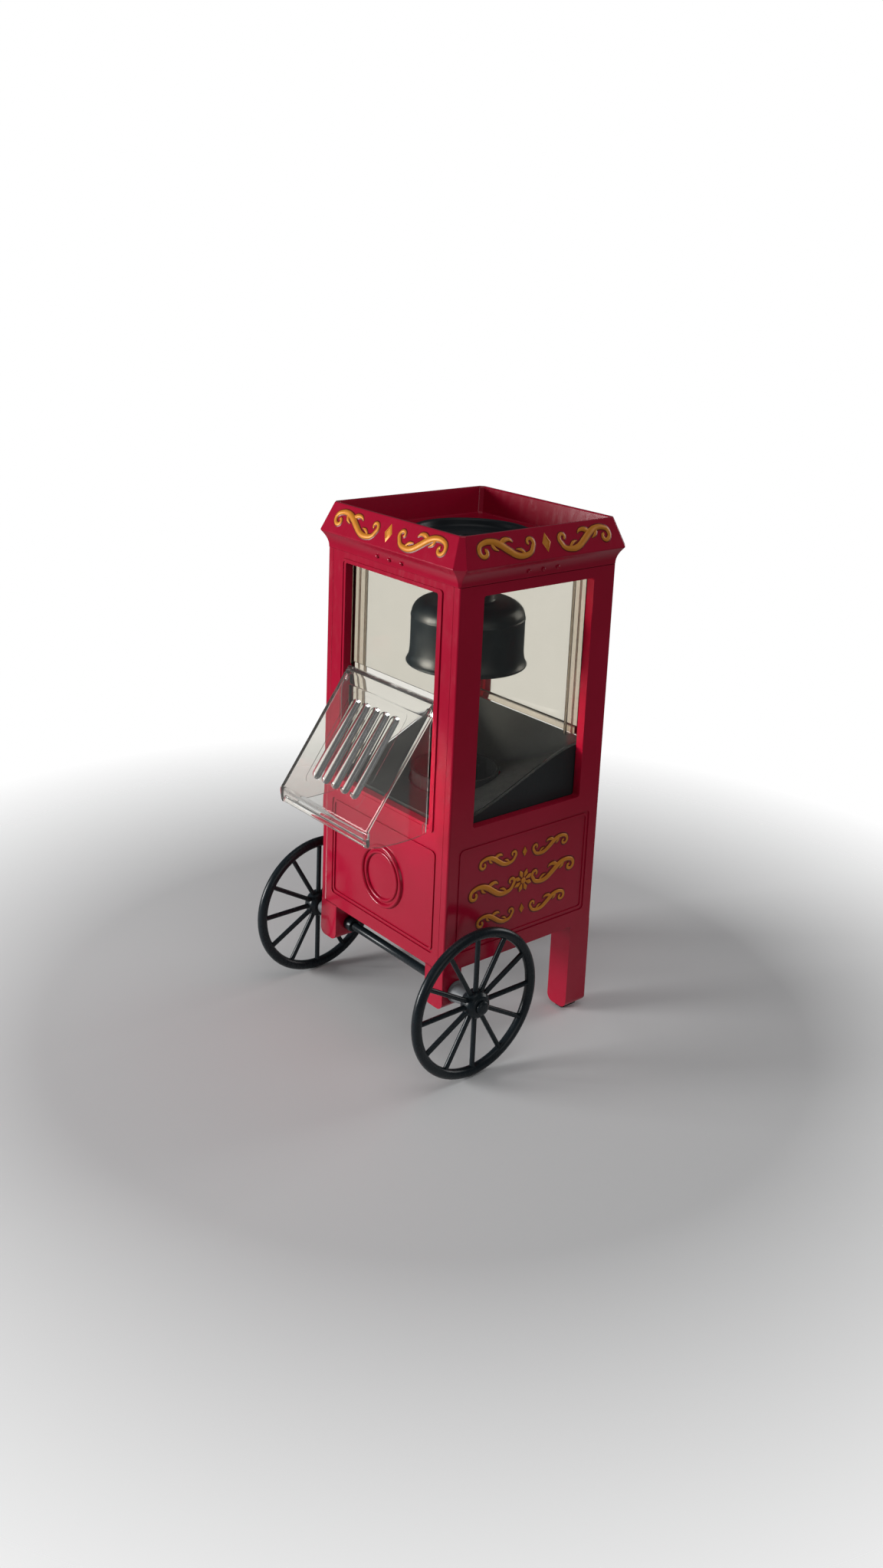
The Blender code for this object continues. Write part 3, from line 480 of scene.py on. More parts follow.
canopy = block("canopy", (-87.5, -87.5, 416), (87.5, 87.5, 417))
round_edges(canopy, "Z", 2.0, 1)
rises = [i / 9 for i in range(1, 10)]
cove = [(87.5 + 8.0 * t ** 1.8, 2.0 + 6.0 * t ** 1.6, 417 + 14.4 * t) for t in rises]
pulled(canopy, cove + [(95.3, 7.9, 432.4), (85.4, 3.6, 454.8), (84.8, 3.4, 455.8), (82.6, 3.0, 455.8),
                       (81.9, 3.0, 454.6), (78.9, 3.0, 433.6), (78.3, 2.8, 432.4)])
pulled(canopy, [(84.9, 1.6, 416), (84.9, 1.6, 424), (79.5, 1.6, 429.8)], downwards=True)
carve(canopy, rod(96, 51, 20, at(0, 0, 431)))
soften(canopy, 0.5, 3, 24)
pip = turned("pip", [(0, -1.5), (0.8, -1.4), (1.5, -1.0), (1.9, -0.3), (2.0, 0.6), (0, 0.6)],
             "Y", (0, -88.8, 421.6), 24)
join(pip, *[copied(pip, Matrix.Translation((shift / 1000, 0, 0))) for shift in (-16, 16)])
join(canopy, pip, *turned_copies(pip, (90, 180, 270)))
paint(canopy, red_gloss)
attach(canopy, "cabinet")
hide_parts("canopy_tray")


# Scroll relief: raised in the moulding and hot-foiled in gold, with a wider, flatter dark red line
# under and round it that is partly its red outline and partly painted shade round the raised
# strokes. Each canopy face has a plain diamond between two scrolls. Each side field has a
# rosette between two scrolls, and a smaller pair with a diamond above and below.
def stem(points, widths):
    """A raised line through points on the flat, thick and thin as its widths say."""
    bpy.ops.object.select_all(action="DESELECT")
    bpy.ops.curve.primitive_bezier_curve_add()
    line = bpy.context.object
    line.data.bevel_depth = 0.001
    line.data.bevel_resolution = 3
    line.data.resolution_u = 5
    line.data.use_fill_caps = True
    run = line.data.splines[0]
    run.bezier_points.add(len(points) - 2)
    for knot, (u, v), width in zip(run.bezier_points, points, widths):
        knot.co = (u / 1000, v / 1000, 0)
        knot.handle_left_type = knot.handle_right_type = "AUTO"
        knot.radius = width
    bpy.ops.object.convert(target="MESH")
    return bpy.context.object


def scroll(extra, flip=1, size=1.0, at_u=0.0, at_v=0.0):
    """One S-scroll with small leaves, drawn from its inner curl to its outer curl."""
    def spot(points):
        return [(flip * (u * size) + at_u, v * size + at_v) for u, v in points]
    inner = curl(18.6, 15.4, 1.2, 4.9, -60, 235, 8)
    outer = curl(66.5, 12.6, 6.6, 1.3, 84, -250, 9)
    run = inner + [(18.5, 7.6), (25, 5.6), (33, 6.2), (42, 11.4), (50, 17.0), (58, 20.0)] + outer
    wide = [1.1 + 0.12 * i for i in range(9)] + [2.1, 2.5, 2.8, 3.1, 3.2, 2.6]
    wide += [2.2 - 0.08 * i for i in range(10)]
    lines = [(run, wide),
             ([(49, 17.5), (44.5, 19.8), (39.0, 19.8), (35.5, 17.2)], [1.8, 2.3, 1.5, 0.4]),
             ([(58, 19.4), (56.0, 14.8), (51.5, 11.9)], [1.3, 1.7, 0.5]),
             ([(24, 6.2), (28.8, 10.4), (34.2, 11.6)], [1.0, 1.5, 0.4])]
    return [stem(spot(points), [size * w + extra for w in widths]) for points, widths in lines]


def diamond(extra, wide, tall, v):
    """A four-sided stone with a sunk top, on the middle line."""
    bpy.ops.object.select_all(action="DESELECT")
    bpy.ops.mesh.primitive_cone_add(vertices=4, radius1=1, radius2=0.55, depth=1)
    stone = bpy.context.object
    stone.scale = ((wide + extra) / 1000, (tall + extra) / 1000, 0.0032)
    stone.location = (0, v / 1000, 0)
    bpy.ops.object.transform_apply()
    bpy.ops.object.mode_set(mode="EDIT")
    bpy.ops.mesh.select_mode(type="FACE")
    bpy.ops.mesh.select_all(action="DESELECT")
    mesh = bmesh.from_edit_mesh(stone.data)
    for face in mesh.faces:
        face.select = face.normal.z > 0.95
    bmesh.update_edit_mesh(stone.data)
    bpy.ops.mesh.inset(thickness=0.0007)
    bpy.ops.mesh.extrude_region_move(TRANSFORM_OT_translate={"value": (0, 0, -0.0006)})
    bpy.ops.object.mode_set(mode="OBJECT")
    return stone


def rosette_heart(extra, radius):
    bpy.ops.object.select_all(action="DESELECT")
    bpy.ops.mesh.primitive_uv_sphere_add(segments=20, ring_count=10, radius=(radius + extra) / 1000)
    return bpy.context.object


def laid(name, parts, height, across, upward, corner):
    """Flattens the relief and lays it on a face: its run, its upward line and a point on it."""
    relief = join(parts[0], *parts[1:])
    relief.name = name
    across, upward = Vector(across).normalized(), Vector(upward).normalized()
    out = across.cross(upward)
    lie = Matrix((across, upward, out)).transposed().to_4x4()
    relief.matrix_world = Matrix.Translation(at(*corner)) @ lie @ Matrix.Diagonal((1, 1, height, 1))
    only(relief)
    bpy.ops.object.transform_apply()
    face_out(relief)
    bpy.ops.object.shade_smooth_by_angle(angle=math.radians(50))
    return relief


def canopy_relief(extra):
    """Two scrolls with a diamond between them."""
    return scroll(extra, 1) + scroll(extra, -1) + [diamond(extra, 6.4, 11.0, 13.4)]


def field_relief(extra):
    """A rosette between two large scrolls, and a smaller pair with a diamond above and below."""
    petals = []
    for i in range(8):
        turn = math.tau * (i + 0.5) / 8
        u, v = math.cos(turn), math.sin(turn)
        petals.append(stem([(3.2 * u, 3.2 * v), (7.2 * u, 7.2 * v), (10.6 * u, 10.6 * v)],
                           [0.8 + extra, 2.3 + extra, 0.5 + extra]))
    parts = petals + [rosette_heart(extra, 2.9)]
    for size, shift, height in ((0.86, 2, -10.5), (0.70, 0, 17.0), (0.70, 0, -36.0)):
        for flip in (1, -1):
            parts += scroll(extra, flip, size, -flip * shift, height)
    return parts + [diamond(extra, 3.6, 6.0, 27), diamond(extra, 3.6, 6.0, -26)]


foil_gold = plastic("foil_gold", (0.77, 0.30, 0.028), (0.58, 0.20, 0.018), 0.40, 0.08, 0.06, 0.3, 0.15)
# The dark red of the line round the gold is partly the outline's colour and partly painted shade.
shaded_outline_red = plastic("shaded_outline_red", (0.19, 0.010, 0.007), (0.12, 0.006, 0.006), 0.35, 0.05, 0.04, 0.3)
for name, finish, extra, height in (("scrolls", foil_gold, 0.0, 0.62),
                                    ("scroll_shade_lines", shaded_outline_red, 1.0, 0.2)):
    sides = [laid("canopy_" + name, canopy_relief(extra), height,
                  (1, 0, 0), (0, 10.7, 24.4), (0, -95.45, 431.5))]
    sides += turned_copies(sides[0], (90, 180, 270))
    right = laid("field_" + name, field_relief(extra), height, (0, 1, 0), (0, 0, 1), (86.5, 0, 147.5))
    left = turned_copies(right, (180,))[0]
    for piece in sides + [right, left]:
        paint(piece, finish)
        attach(piece, "cabinet")


# Kernel lid: a black dished disc that drops into the tray mouth, on a filler funnel that runs
# down through the kettle. Both are moulded in satin black plastic.
black_satin = plastic("black_satin", (0.013, 0.017, 0.021), (0.009, 0.012, 0.015), 0.38, 0.10, 0.03, 0.25)

lid = turned("kernel_lid_disc", [(0, 431.0), (20, 431.05), (40, 431.3), (44.6, 431.6), (46.2, 432.6),
                                 (46.8, 434.2)]
             + arc(50.4, 435.4, 2.9, 165, 15, 8) + [(53.9, 434.7), (48.4, 434.7), (48.0, 429.8), (0, 429.5)],
             "Z", (0, 0, 0), 96)
for radius in (12, 30):
    ridge = turned("ridge", [(radius - 0.7, 431.0), (radius - 0.4, 431.5), (radius + 0.4, 431.5),
                             (radius + 0.7, 431.0), (radius, 430.4)], "Z", (0, 0, 0), 96)
    join(lid, ridge)
paint(lid, black_satin)
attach(lid, "filler_lid")
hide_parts("kernel_lid")

funnel = turned("filler_funnel", [(50.5, 432.8), (55.7, 432.8), (56.0, 433.2), (55.8, 434.1), (49.2, 434.2),
                                  (48.8, 433.6), (48.8, 426.0), (18.4, 416.2), (17.8, 414), (16.5, 334.0),
                                  (18.3, 334.0), (19.5, 413.6), (20.4, 415.4), (50.5, 424.8)],
                "Z", (0, 0, 0), 72)
paint(funnel, black_satin)
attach(funnel, "cabinet")
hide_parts("kernel_funnel")


# Kettle: a black bell spun in two halves and crimped at the shoulder, hung from the cabinet
# ceiling by its neck. Its mouth is turned out into a rolled lip.
kettle = turned("hanging_kettle",
                arc(50.6, 322.0, 1.35, -110, 60, 7)
                + [(50.3, 325.2), (49.6, 327.6), (49.1, 330.6), (48.8, 334), (48.7, 361.4), (48.9, 361.9),
                   (49.0, 362.6), (48.9, 363.4), (48.5, 363.9)]
                + arc(35.2, 363.6, 13.3, 4, 86, 12)
                + [(30, 377.6), (24.2, 378.0), (22.6, 378.8), (22.0, 380.4), (22.0, 411.2),
                   (20.2, 411.2), (20.2, 375.6)]
                + arc(35.2, 363.6, 11.2, 88, 4, 10)
                + [(46.6, 361), (46.6, 332), (48.4, 324.0), (49.6, 321.4)], "Z", (0, 0, 0), 96)
kettle_black = plastic("kettle_black", (0.008, 0.015, 0.021), (0.006, 0.011, 0.016), 0.34, 0.04, 0.01, 0.35)
paint(kettle, kettle_black)
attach(kettle, "cabinet")
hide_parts("kettle_housing")


# Glazing: one clear tube dropped into the cabinet behind the four windows. Its lower edge
# follows the slide and its front is open below the hood's hinge. A strip of a warmer clear
# plastic with four smoky reeds stands in each corner, and a warm rail crosses the back.
def clear_plastic(name, tint, rough):
    """Clear moulded plastic with faint flow marks; lamps shine through it."""
    finish, nodes, links, shader = new_finish(name)
    spot = add_node(nodes, "TexCoord")
    flow = add_node(nodes, "TexNoise", scale=26, detail=2)
    ripple = add_node(nodes, "Bump", strength=0.05, distance=0.0008)
    haze = add_node(nodes, "TexNoise", scale=90, detail=5)
    film = add_node(nodes, "MapRange", from_min=0.5, from_max=0.8, to_min=rough, to_max=rough + 0.10)
    cast = two_tones(nodes, [c * 0.985 for c in tint], tint, 0.35, 0.65)
    wire(links, (spot, "Object", flow, "Vector"), (flow, "Fac", ripple, "Height"),
         (ripple, "Normal", shader, "Normal"), (spot, "Object", haze, "Vector"),
         (haze, "Fac", film, "Value"), (film, "Result", shader, "Roughness"),
         (flow, "Fac", cast, "Fac"), (cast, "Color", shader, "Base Color"))
    shader.inputs["Transmission Weight"].default_value = 1.0
    shader.inputs["IOR"].default_value = 1.47
    through = add_node(nodes, "BsdfTransparent", color=(*[c * 0.96 for c in tint], 1))
    ray = add_node(nodes, "LightPath")
    both = add_node(nodes, "MixShader")
    wire(links, (ray, "Is Shadow Ray", both, "Fac"), (shader, 0, both, 1), (through, 0, both, 2),
         (both, 0, nodes["Material Output"], "Surface"))
    return finish


def plate(name, outline, along, start, end):
    """A sheet cut to an outline, given in the two other axes, and pulled straight."""
    axis = "XYZ".index(along)
    bpy.ops.object.select_all(action="DESELECT")
    bpy.ops.mesh.primitive_circle_add(vertices=len(outline), radius=0.01, fill_type="NGON")
    piece = bpy.context.object
    piece.name = name
    for corner, spot in zip(piece.data.vertices, outline):
        spot = list(spot)
        spot.insert(axis, start)
        corner.co = at(*spot)
    push = Vector((0, 0, 0))
    push[axis] = (end - start) / 1000
    bpy.ops.object.mode_set(mode="EDIT")
    bpy.ops.mesh.select_all(action="SELECT")
    bpy.ops.mesh.extrude_region_move(TRANSFORM_OT_translate={"value": push})
    return face_out(piece)


def slide_rim(y):
    """Height of the slide's flanks, high at the back and low at the chute."""
    t = min(max((y + 77.0) / 154.0, 0.0), 1.0)
    return 213.0 + 44.0 * t * t * (3 - 2 * t)


liner = block("glazing", (-78.3, -77, 206), (78.3, 77, 411))
round_edges(liner, "Z", 6.0, 8)
inside = block("inside", (-76.3, -75, 190), (76.3, 75, 430))
round_edges(inside, "Z", 4.2, 8)
rim_line = [(-90 + 4.5 * i, slide_rim(-90 + 4.5 * i) + 2.6) for i in range(41)]
below = plate("below", [(-90, 180), (90, 180)] + rim_line[::-1], "X", -90, 90)
mouth = block("mouth", (-64, -90, 180), (64, -60, 318))
round_edges(mouth, "Y", 4.0, 5, lambda m: m.z > 300)
carve(liner, inside, below, mouth)
soften(liner, 0.3, 2, 40)
clear_window = clear_plastic("clear_window", (0.865, 0.845, 0.785), 0.015)
paint(liner, clear_window)
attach(liner, "cabinet")
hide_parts("window_liner")
strips, reeds = [], []
for s, t, low in ((-1, -1, 219), (1, -1, 219), (-1, 1, 262), (1, 1, 262)):
    height, middle = 409 - low, (409 + low) / 2
    strips.append(slab(at(s * 68.7, t * 67.4, middle), (0.0172, 0.0016, height / 1000),
                       (0, 0, math.radians(45 * s * t))))
    for inward, radius in ((3.7, 1.35), (7.7, 0.9), (11.6, 1.35), (14.6, 0.8)):
        x, y = s * (59.6 + inward + t * s * 1.7), t * (58.3 + inward - t * s * 1.7)
        reeds.append(rod(32, radius, height, at(x, y, middle)))
rail = block("rail", (-66, 71, 260), (66, 74.8, 267.5))
round_edges(rail, "X", 1.8, 4)
strips = join(rail, *strips)
strips.name = "corner_strips"
soften(strips, 0.25, 2, 50)
reeds = join(reeds[0], *reeds[1:])
reeds.name = "corner_reeds"
soften(reeds, 0.1, 2, 50)
for piece, finish in ((strips, clear_plastic("clear_warm", (0.86, 0.80, 0.72), 0.02)),
                      (reeds, clear_plastic("clear_smoke", (0.46, 0.42, 0.38), 0.03))):
    paint(piece, finish)
    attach(piece, "cabinet")


# Chute hood: one thick clear moulding that hangs on two steel pins at its top edge and swings
# out and up. Its face slopes to a rounded front lip, five round ribs stand in a shallow sunk
# panel, and each cheek ends in a small stop that rests on the front frame.
slope = Vector((0, -66.7, -95.3)).normalized()
lean = math.atan2(slope.y, -slope.z)
hood = plate("chute_cover", [(-79.5, 314.6), (-81.6, 314.9), (-83.6, 314.0), (-149.8, 219.4),
                             (-150.9, 217.3), (-151.1, 215.2), (-149.8, 206.6), (-149.0, 205.0),
                             (-146.6, 204.0), (-135, 202.6), (-118, 201.6), (-102, 201.8),
                             (-90.2, 202.9), (-88.9, 203.8), (-88.6, 205.4), (-88.6, 296.0),
                             (-84.0, 307.6), (-79.6, 308.2), (-78.4, 309.6), (-78.4, 313.2)],
             "X", -60.8, 60.8)
round_edges(hood, slope, 3.0, 6, lambda m: m.y < -84)
hollow = plate("hollow", [(-88.0, 303.0), (-147.6, 218.9), (-148.7, 216.6), (-147.2, 190.0), (-80.0, 190.0),
                          (-80.0, 303.0)], "X", -58.8, 58.8)
round_edges(hollow, slope, 1.6, 4, lambda m: m.y < -84)
roof = plate("roof", [(-89.0, 303.0), (-84.3, 309.7), (-82.8, 311.2), (-81.4, 311.9), (-76, 311.9),
                      (-76, 290), (-89, 290)], "X", -55, 55)
round_edges(roof, slope, 2.5, 4, lambda m: m.y < -80)
carve(hood, hollow, roof)


def on_slope(run, out=0.0, x=0.0):
    """A point on the sloped face, this far down from its top edge."""
    return at(x, -83.3, 314.3) + (slope * run + Vector((0, slope.z, -slope.y)) * out) / 1000


leaning = (lean, 0, 0)
panel = slab(on_slope(60, 2.0), (0.076, 0.005, 0.086), leaning)
round_edges(panel, (0, slope.z, -slope.y), 5.0, 6)
carve(hood, panel)
ribs = [rod(40, 5.2, 76, on_slope(60, -1.2, -26.4 + 13.2 * i), leaning) for i in range(5)]
for rib in ribs:
    modify(rib, "BEVEL", width=0.0049, segments=8, limit_method="ANGLE", angle_limit=math.radians(60))
ribs = join(*ribs)
bpy.ops.object.transform_apply()
carve(ribs, slab(on_slope(60, -6.0), (0.09, 0.01, 0.09), leaning))
build_on(hood, ribs)
edging = []
for s in (-1, 1):
    edging.append(rod(24, 1.5, 112, on_slope(60, -1.1, s * 59.2), leaning))
    edging.append(rod(24, 2.2, 12.5, at(s * 58.3, -148.3, 211.3)))
edging.append(rod(32, 3.1, 116, at(0, -147.6, 208.3), along_x))
for edge in edging:
    modify(edge, "BEVEL", width=0.0012, segments=4, limit_method="ANGLE", angle_limit=math.radians(60))
    bpy.ops.object.transform_apply()
build_on(hood, *edging)
for s in (-1, 1):
    stop = turned("stop", [(0, 203.4), (1.1, 203.6), (1.7, 204.6), (1.8, 206.0), (1.8, 211.0), (1.5, 212.2),
                           (0.9, 212.9), (0, 213.1)], "Z", (s * 59.8, -90.6, 0), 24)
    build_on(hood, stop)
    carve(hood, rod(24, 1.85, 8, at(s * 60, hinge_y, hinge_z), along_x))
soften(hood, 0.45, 3, 40)
clear_hood = clear_plastic("clear_hood", (0.93, 0.92, 0.885), 0.01)
clear_hood.node_tree.nodes["Principled BSDF"].inputs["Transmission Weight"].default_value = 0.98
paint(hood, clear_hood)
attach(hood, "chute")
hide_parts("chute_hood")


# Hood pins: two turned and plated steel pins pressed into the bosses of the front frame.
def metal(name, colour, second, rough, brush):
    """Plated or drawn metal with fine tool marks along its run."""
    finish, nodes, links, shader = new_finish(name)
    spot = add_node(nodes, "TexCoord")
    stretch = add_node(nodes, "Mapping", scale=brush)
    marks = add_node(nodes, "TexNoise", scale=60, detail=4)
    tones = two_tones(nodes, second, colour)
    dull = add_node(nodes, "MapRange", to_min=rough, to_max=rough + 0.2)
    bump = add_node(nodes, "Bump", strength=0.15, distance=0.0002)
    wire(links, (spot, "Object", stretch, "Vector"), (stretch, "Vector", marks, "Vector"),
         (marks, "Fac", tones, "Fac"), (tones, "Color", shader, "Base Color"),
         (marks, "Fac", dull, "Value"), (dull, "Result", shader, "Roughness"),
         (marks, "Fac", bump, "Height"), (bump, "Normal", shader, "Normal"))
    shader.inputs["Metallic"].default_value = 1.0
    return finish


plated_steel = metal("plated_steel", (0.62, 0.62, 0.63), (0.46, 0.46, 0.47), 0.24, (1, 8, 8))
pin = turned("right_pin", [(0, 58.4), (1.1, 58.4), (1.5, 58.9), (1.5, 68.4), (1.3, 68.7), (0, 68.7)],
             "X", (0, hinge_y, hinge_z), 32)
paint(pin, plated_steel)
for side, one in (("left", mirrored(pin, "left_pin")), ("right", pin)):
    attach(one, "cabinet")
    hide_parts(side + "_hood_pin")


# Slide: the dark floor of the glazed space, vacuum formed with a high back, flanks that fall
# to a rounded valley, and a round mouth over the popping chamber.
bpy.ops.object.select_all(action="DESELECT")
bpy.ops.mesh.primitive_grid_add(x_subdivisions=44, y_subdivisions=44, size=1, location=at(0, 0, 0))
slide = bpy.context.object
slide.name = "popped_corn_slide"
slide.scale = (0.1566, 0.154, 1)
bpy.ops.object.transform_apply()
for corner in slide.data.vertices:
    x, y = corner.co.x * 1000, corner.co.y * 1000 - setback
    floor, rim = 212.0 + 9.0 * (y + 77) / 154, slide_rim(y)
    flank = floor + (rim - floor) * (abs(x) / 78.3) ** 1.35
    back = 257.0 - 1.75 * (77 - y) * (1.0 - 0.12 * (x / 78.3) ** 2)
    top = max(flank, back)
    crease = 4.0
    height = top + crease * math.log(math.exp((flank - top) / crease) + math.exp((back - top) / crease))
    corner.co.z = min(height, max(rim, 257.0 if y >= 76.9 else rim)) / 1000
bpy.ops.object.mode_set(mode="EDIT")
bpy.ops.mesh.select_mode(type="EDGE")
bpy.ops.mesh.select_all(action="DESELECT")
bpy.ops.mesh.select_non_manifold()
bpy.ops.mesh.extrude_region_move()
mesh = bmesh.from_edit_mesh(slide.data)
for corner in [v for v in mesh.verts if v.select]:
    corner.co.z = 0.204
bmesh.update_edit_mesh(slide.data)
face_out(slide)
modify(slide, "SOLIDIFY", thickness=0.002, offset=-1, use_even_offset=True)
carve(slide, rod(72, 40.7, 70, at(0, -8, 215)))
soften(slide, 0.6, 3, 48)
slate_matte = plastic("slate_matte", (0.026, 0.029, 0.030), (0.020, 0.022, 0.023), 0.5, 0.35, 0.05, 0.3)
paint(slide, slate_matte)
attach(slide, "cabinet")
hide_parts("popcorn_slide")


# Wheels: two twelve-spoke cart wheels, each moulded in one piece of black plastic: a round
# rim, round spokes that widen a little where they meet it, and a turned hub.
wheel_black = plastic("wheel_black", (0.011, 0.016, 0.020), (0.008, 0.012, 0.015), 0.26, 0.10, 0.05, 0.22)
wheel_middle = at(112.5, axle_y, axle_z)
bpy.ops.object.select_all(action="DESELECT")
bpy.ops.mesh.primitive_torus_add(major_radius=0.06205, minor_radius=0.00442, major_segments=120,
                                 minor_segments=24, location=wheel_middle, rotation=along_x)
wheel = bpy.context.object
wheel.name = "right_cart_wheel"
bpy.ops.object.transform_apply()
bpy.ops.object.shade_smooth()
spoke = rod(20, 2.1, 36, at(112.5, axle_y, axle_z + 35))
spoke.scale = (1.12, 1, 1)
bpy.ops.object.transform_apply()
for top, rises in ((True, ((0.004, 1.0), (0.003, 1.12), (0.0022, 1.3), (0.0016, 1.6))),
                   (False, ((-0.004, 1.06), (-0.003, 1.16), (-0.002, 1.36), (-0.0014, 1.6)))):
    height = take_end(spoke, not top)
    before = 1.0
    for rise, widen in rises:
        height += rise
        bpy.ops.mesh.extrude_region_move(TRANSFORM_OT_translate={"value": (0, 0, rise)})
        grow = widen / before
        middle = Vector((wheel_middle.x, wheel_middle.y, height))
        bpy.ops.transform.resize(value=(grow, grow, 1), center_override=middle)
        before = widen
    bpy.ops.object.mode_set(mode="OBJECT")
bpy.ops.object.shade_smooth_by_angle(angle=math.radians(40))
spokes = [spoke] + [copied(spoke, about(wheel_middle, 30 * i, "X")) for i in range(1, 12)]
hub = turned("hub", [(4.4, 104.5), (8.4, 104.5), (9.2, 104.9), (9.6, 105.6), (10.6, 106.4), (11.4, 107.4),
                     (11.9, 109.0), (12.0, 110.2), (12.0, 114.8), (11.9, 116.0), (11.4, 117.6),
                     (10.6, 118.6), (9.6, 119.4), (9.2, 120.1), (8.4, 120.5), (4.4, 120.5)],
             "X", (0, axle_y, axle_z), 64)
join(wheel, hub, *spokes)
paint(wheel, wheel_black)
other_wheel = mirrored(wheel, "left_cart_wheel")
for piece, side in ((wheel, "right"), (other_wheel, "left")):
    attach(piece, side + "_wheel_body")
    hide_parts(side + "_wheel")


# Axle: a black rod held in the front legs. A thick bush sits on it inside each leg, a grey
# conical collar keeps each wheel off the leg, and a domed cap ends it outside the hub.
axle = turned("wheel_axle", [(0, -120.4), (3.4, -120.4), (4.0, -119.8), (4.0, -54.4), (3.7, -54.0),
                             (3.7, 54.0), (4.0, 54.4), (4.0, 119.8), (3.4, 120.4), (0, 120.4)],
              "X", (0, axle_y, axle_z), 48)
paint(axle, wheel_black)
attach(axle, "cabinet")
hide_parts("front_axle")
grey_plastic = plastic("grey_plastic", (0.20, 0.21, 0.22), (0.15, 0.16, 0.17), 0.38, 0.2, 0.08)
bush = turned("right_bush", [(4.4, 54.7), (5.4, 54.7), (6.0, 55.2), (6.2, 56.6), (6.5, 58.2), (6.5, 62.6),
                             (6.0, 63.2), (6.0, 63.7), (4.4, 63.7)], "X", (0, axle_y, axle_z), 48)
collar = turned("right_collar", [(4.4, 87.8), (9.0, 87.8), (9.5, 88.3), (9.5, 89.6), (9.0, 90.2), (8.7, 91.6),
                                 (7.2, 98.4), (6.7, 102.4), (6.5, 103.9), (6.2, 104.2), (4.4, 104.2)],
                "X", (0, axle_y, axle_z), 48)
cap = turned("right_cap", [(0, 120.8), (5.6, 120.8), (6.0, 121.2), (6.0, 122.4), (5.7, 123.1), (4.9, 123.8),
                           (3.6, 124.2), (1.8, 124.38), (0, 124.4)], "X", (0, axle_y, axle_z), 48)
for piece, finish, kind, part, slot in ((bush, wheel_black, "bush", "axle_bush", "black_satin"),
                                        (collar, grey_plastic, "collar", "wheel_spacer", "grey_plastic"),
                                        (cap, wheel_black, "cap", "hub_cap", "black_satin")):
    paint(piece, finish)
    for side, one in (("right", piece), ("left", mirrored(piece, "left_" + kind))):
        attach(one, "cabinet")
        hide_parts(side + "_" + part)


# Foot pads: soft black rubber blocks glued under the rear legs.
pad_rubber = plastic("pad_rubber", (0.018, 0.018, 0.018), (0.010, 0.010, 0.010), 0.75, 0.5, 0.05)
pad = block("right_pad", (71.15, 65.25, 0), (80.35, 83.25, 3.2))
round_edges(pad, "Z", 1.5, 4)
soften(pad, 0.3, 2)
paint(pad, pad_rubber)
for side, one in (("right", pad), ("left", mirrored(pad, "left_pad"))):
    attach(one, "cabinet")
    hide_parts(side + "_foot_pad")


# Rear panel: the back wall, in the same red and with the same beaded window, held by four
# screws. Below the window it has the cut-outs for the power switch and the cord bushing.
back = framed("back_frame", 1)
build_on(back, ring("Y", (-70.2, 85.5, 99.8), (70.2, 87.2, 203.0), 1.6, 4.5, 3.2))
carve(back, block("switch_hole", (-47.5, 80, 139.5), (-32.5, 95, 160.5)))
for x, z, radius in ((40, 120, 5.5), (-75, 110, 1.9), (75, 110, 1.9), (-75, 193, 1.9), (75, 193, 1.9)):
    carve(back, rod(32, radius, 16, at(x, 86.5, z), (math.pi / 2, 0, 0)))
soften(back, 0.4, 3)
paint(back, red_gloss)
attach(back, "cabinet")
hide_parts("rear_panel")


# Power switch: a black snap-in body with a flange outside the panel, and a plain rocker that
# tilts in it.
shell = block("switch_body", (-47.2, 72, 139.8), (-32.8, 87, 160.2))
flange = block("flange", (-50, 86.8, 137), (-30, 88.3, 163))
round_edges(flange, "Y", 2.0, 4)
build_on(shell, flange)
pocket = block("pocket", (-46.5, 75, 140.8), (-33.5, 95, 159.2))
round_edges(pocket, "Y", 0.8, 3)
carve(shell, pocket)
soften(shell, 0.35, 3)
rocker = plate("switch_rocker", arc(86.5, 150, 8.75, -250, -110, 14)
               + [(87.1, 158.3), (87.9, 154.2), (88.9, 150.0), (90.2, 146.0), (90.9, 141.7)], "X", -46, -34)
soften(rocker, 0.35, 3, 40)
for piece, body, node in ((shell, "cabinet", "switch_bezel"), (rocker, "rocker", "rocker_switch")):
    paint(piece, black_satin)
    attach(piece, body)
    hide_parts(node)


# Cord bushing: an empty black strain-relief sleeve, stepped with low grip rings that get
# smaller outwards, and pressed into the back.
bushing = turned("cord_bushing", [(3.0, -5.0), (5.0, -5.0), (5.2, -4.7), (5.2, 0.3), (7.3, 0.3), (7.5, 0.6),
                                  (7.5, 1.8), (7.2, 2.1), (6.1, 2.4), (5.7, 3.0), (6.0, 3.4), (6.0, 4.0),
                                  (5.4, 4.3), (5.4, 4.9), (5.7, 5.2), (5.7, 5.8), (5.1, 6.1), (5.1, 6.7),
                                  (5.2, 7.4), (4.9, 8.0), (3.4, 8.0), (3.0, 7.6)], "Y", (40, 86.5, 120), 48)
paint(bushing, black_satin)
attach(bushing, "cabinet")
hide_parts("cord_inlet")


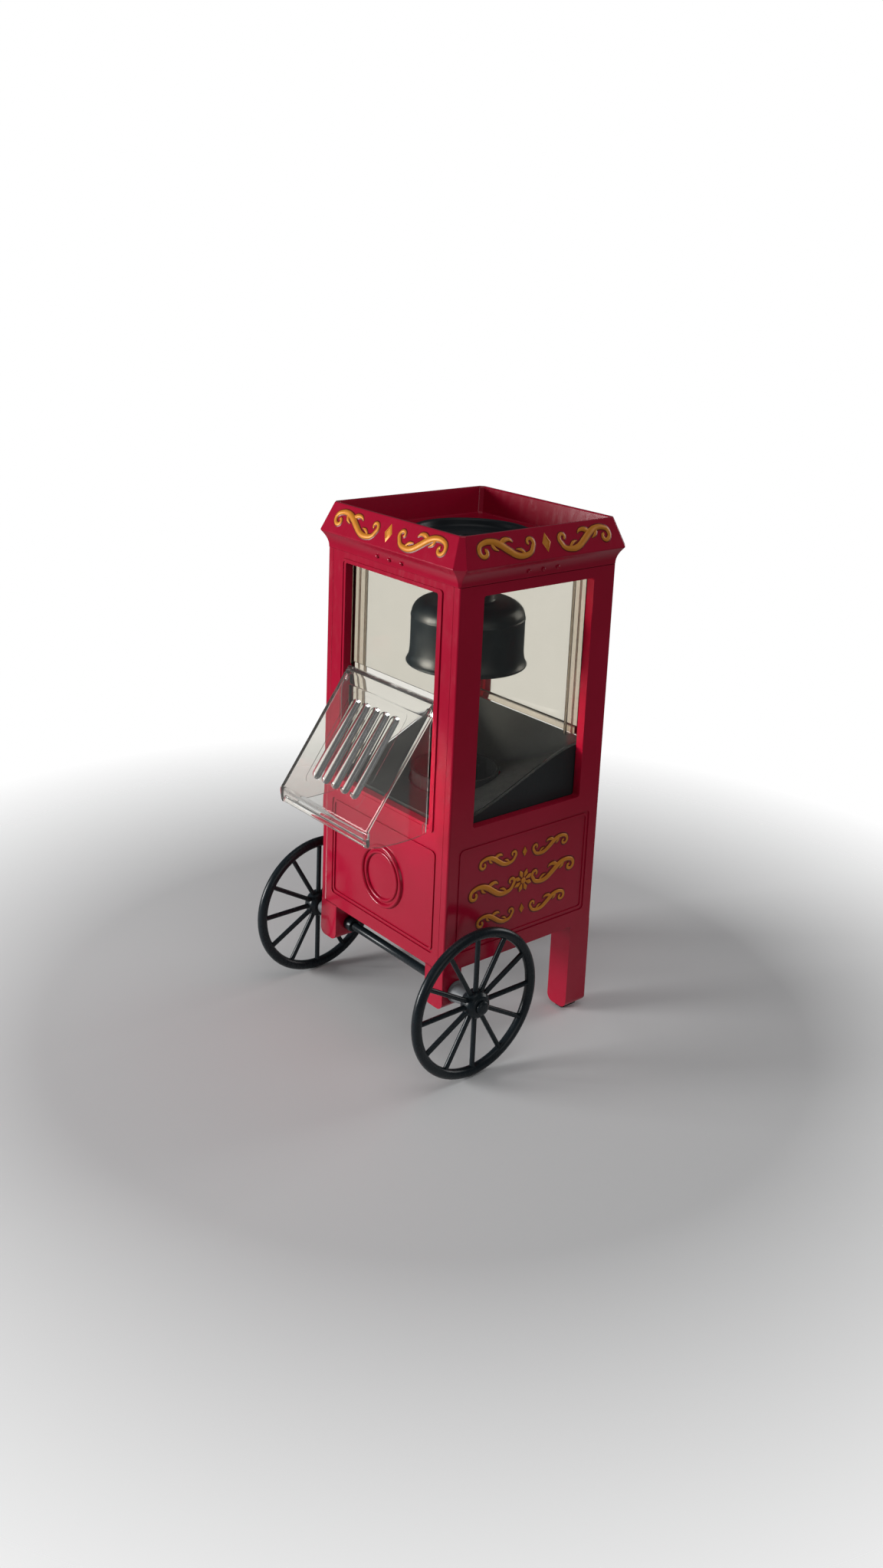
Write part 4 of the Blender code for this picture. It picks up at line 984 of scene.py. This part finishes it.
# Screws: pan-head, plated steel, with a cross recess. Four hold the rear panel and four hold
# the air duct to the base.
screw = turned("screw", [(0, 1.7), (1.2, 1.65), (2.2, 1.4), (2.9, 0.9), (3.2, 0.3), (3.2, 0.0),
                         (1.5, 0.0), (1.5, -5.8), (0.9, -6.6), (0, -6.8)], "Z", (0, -setback, 0), 32)
for turn in (0, 90):
    carve(screw, slab((0, 0, 0.0014), (0.0036, 0.0008, 0.0016), (0, 0, math.radians(turn + 20))))
only(screw)
bpy.ops.object.shade_smooth_by_angle(angle=math.radians(35))
paint(screw, plated_steel)
head_depth = 0.0017
for kind, face in (("rear", Matrix.Rotation(-math.pi / 2, 4, "X")),
                   ("base", Matrix.Rotation(math.pi, 4, "X"))):
    for number in range(1, 5):
        node = "%s_screw_%d" % (kind, number)
        low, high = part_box(node)
        head = (low + high) / 2
        if kind == "rear":
            head.y = high.y - head_depth
        else:
            head.z = low.z + head_depth
        one = copied(screw, Matrix.Translation(head) @ face @ Matrix.Rotation(number * 0.9, 4, "Z"))
        one.name = "%s_fixing_%d" % (kind, number)
        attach(one, "cabinet")
        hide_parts(node)
bpy.data.objects.remove(screw)


# Base plate: black plastic under the body, notched round the legs and slotted below the fan.
base = block("base_plate", (-84.7, -83.7, 86.3), (84.7, 83.7, 88.8))
for s in (-1, 1):
    for near, far in ((-95, -66.2), (61.7, 95)):
        carve(base, block("notch", (s * 63.7, near, 80), (s * 95, far, 95)))
for i in range(7):
    x = -30 + 10 * i
    half = 36 - abs(x) * 0.5
    slot = block("slot", (x - 2, -half, 80), (x + 2, half, 95))
    round_edges(slot, "Z", 1.95, 5)
    carve(base, slot)
for x in (-46, 46):
    for y in (-46, 46):
        carve(base, rod(24, 1.9, 12, at(x, y, 87)))
soften(base, 0.3, 2)
paint(base, slate_matte)
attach(base, "cabinet")
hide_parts("bottom_plate")


# Works in the base and the inner ceiling: the frame's own parts, given their finishes. The
# popping can is alloy painted a near-black matte, so that its rim hardly shows in the slide's
# mouth; the element's wire is bare alloy, the boards are mica and the fan is grey plastic.
dark_chamber = plastic("dark_chamber", (0.016, 0.017, 0.018), (0.010, 0.011, 0.012), 0.60, 0.5, 0.05, 0.12)
wire_alloy = metal("wire_alloy", (0.42, 0.38, 0.34), (0.24, 0.20, 0.18), 0.4, (1, 1, 6))
mica_board = plastic("mica_board", (0.52, 0.44, 0.31), (0.34, 0.27, 0.17), 0.55, 0.4, 0.1)
for finish, members in ((red_gloss, ["ceiling_plate"]),
                        (slate_matte, ["air_duct", "motor_bracket"]),
                        (dark_chamber, ["popping_chamber"]),
                        (plated_steel, ["motor_housing", "motor_shaft", "thermal_fuse"]),
                        (wire_alloy, ["heating_element"]),
                        (mica_board, ["heater_frame", "rectifier_board", "terminal_block"]),
                        (grey_plastic, ["fan_impeller"]),
                        (black_satin, ["thermostat"])):
    for member in members:
        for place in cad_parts[member].material_slots:
            place.material = finish
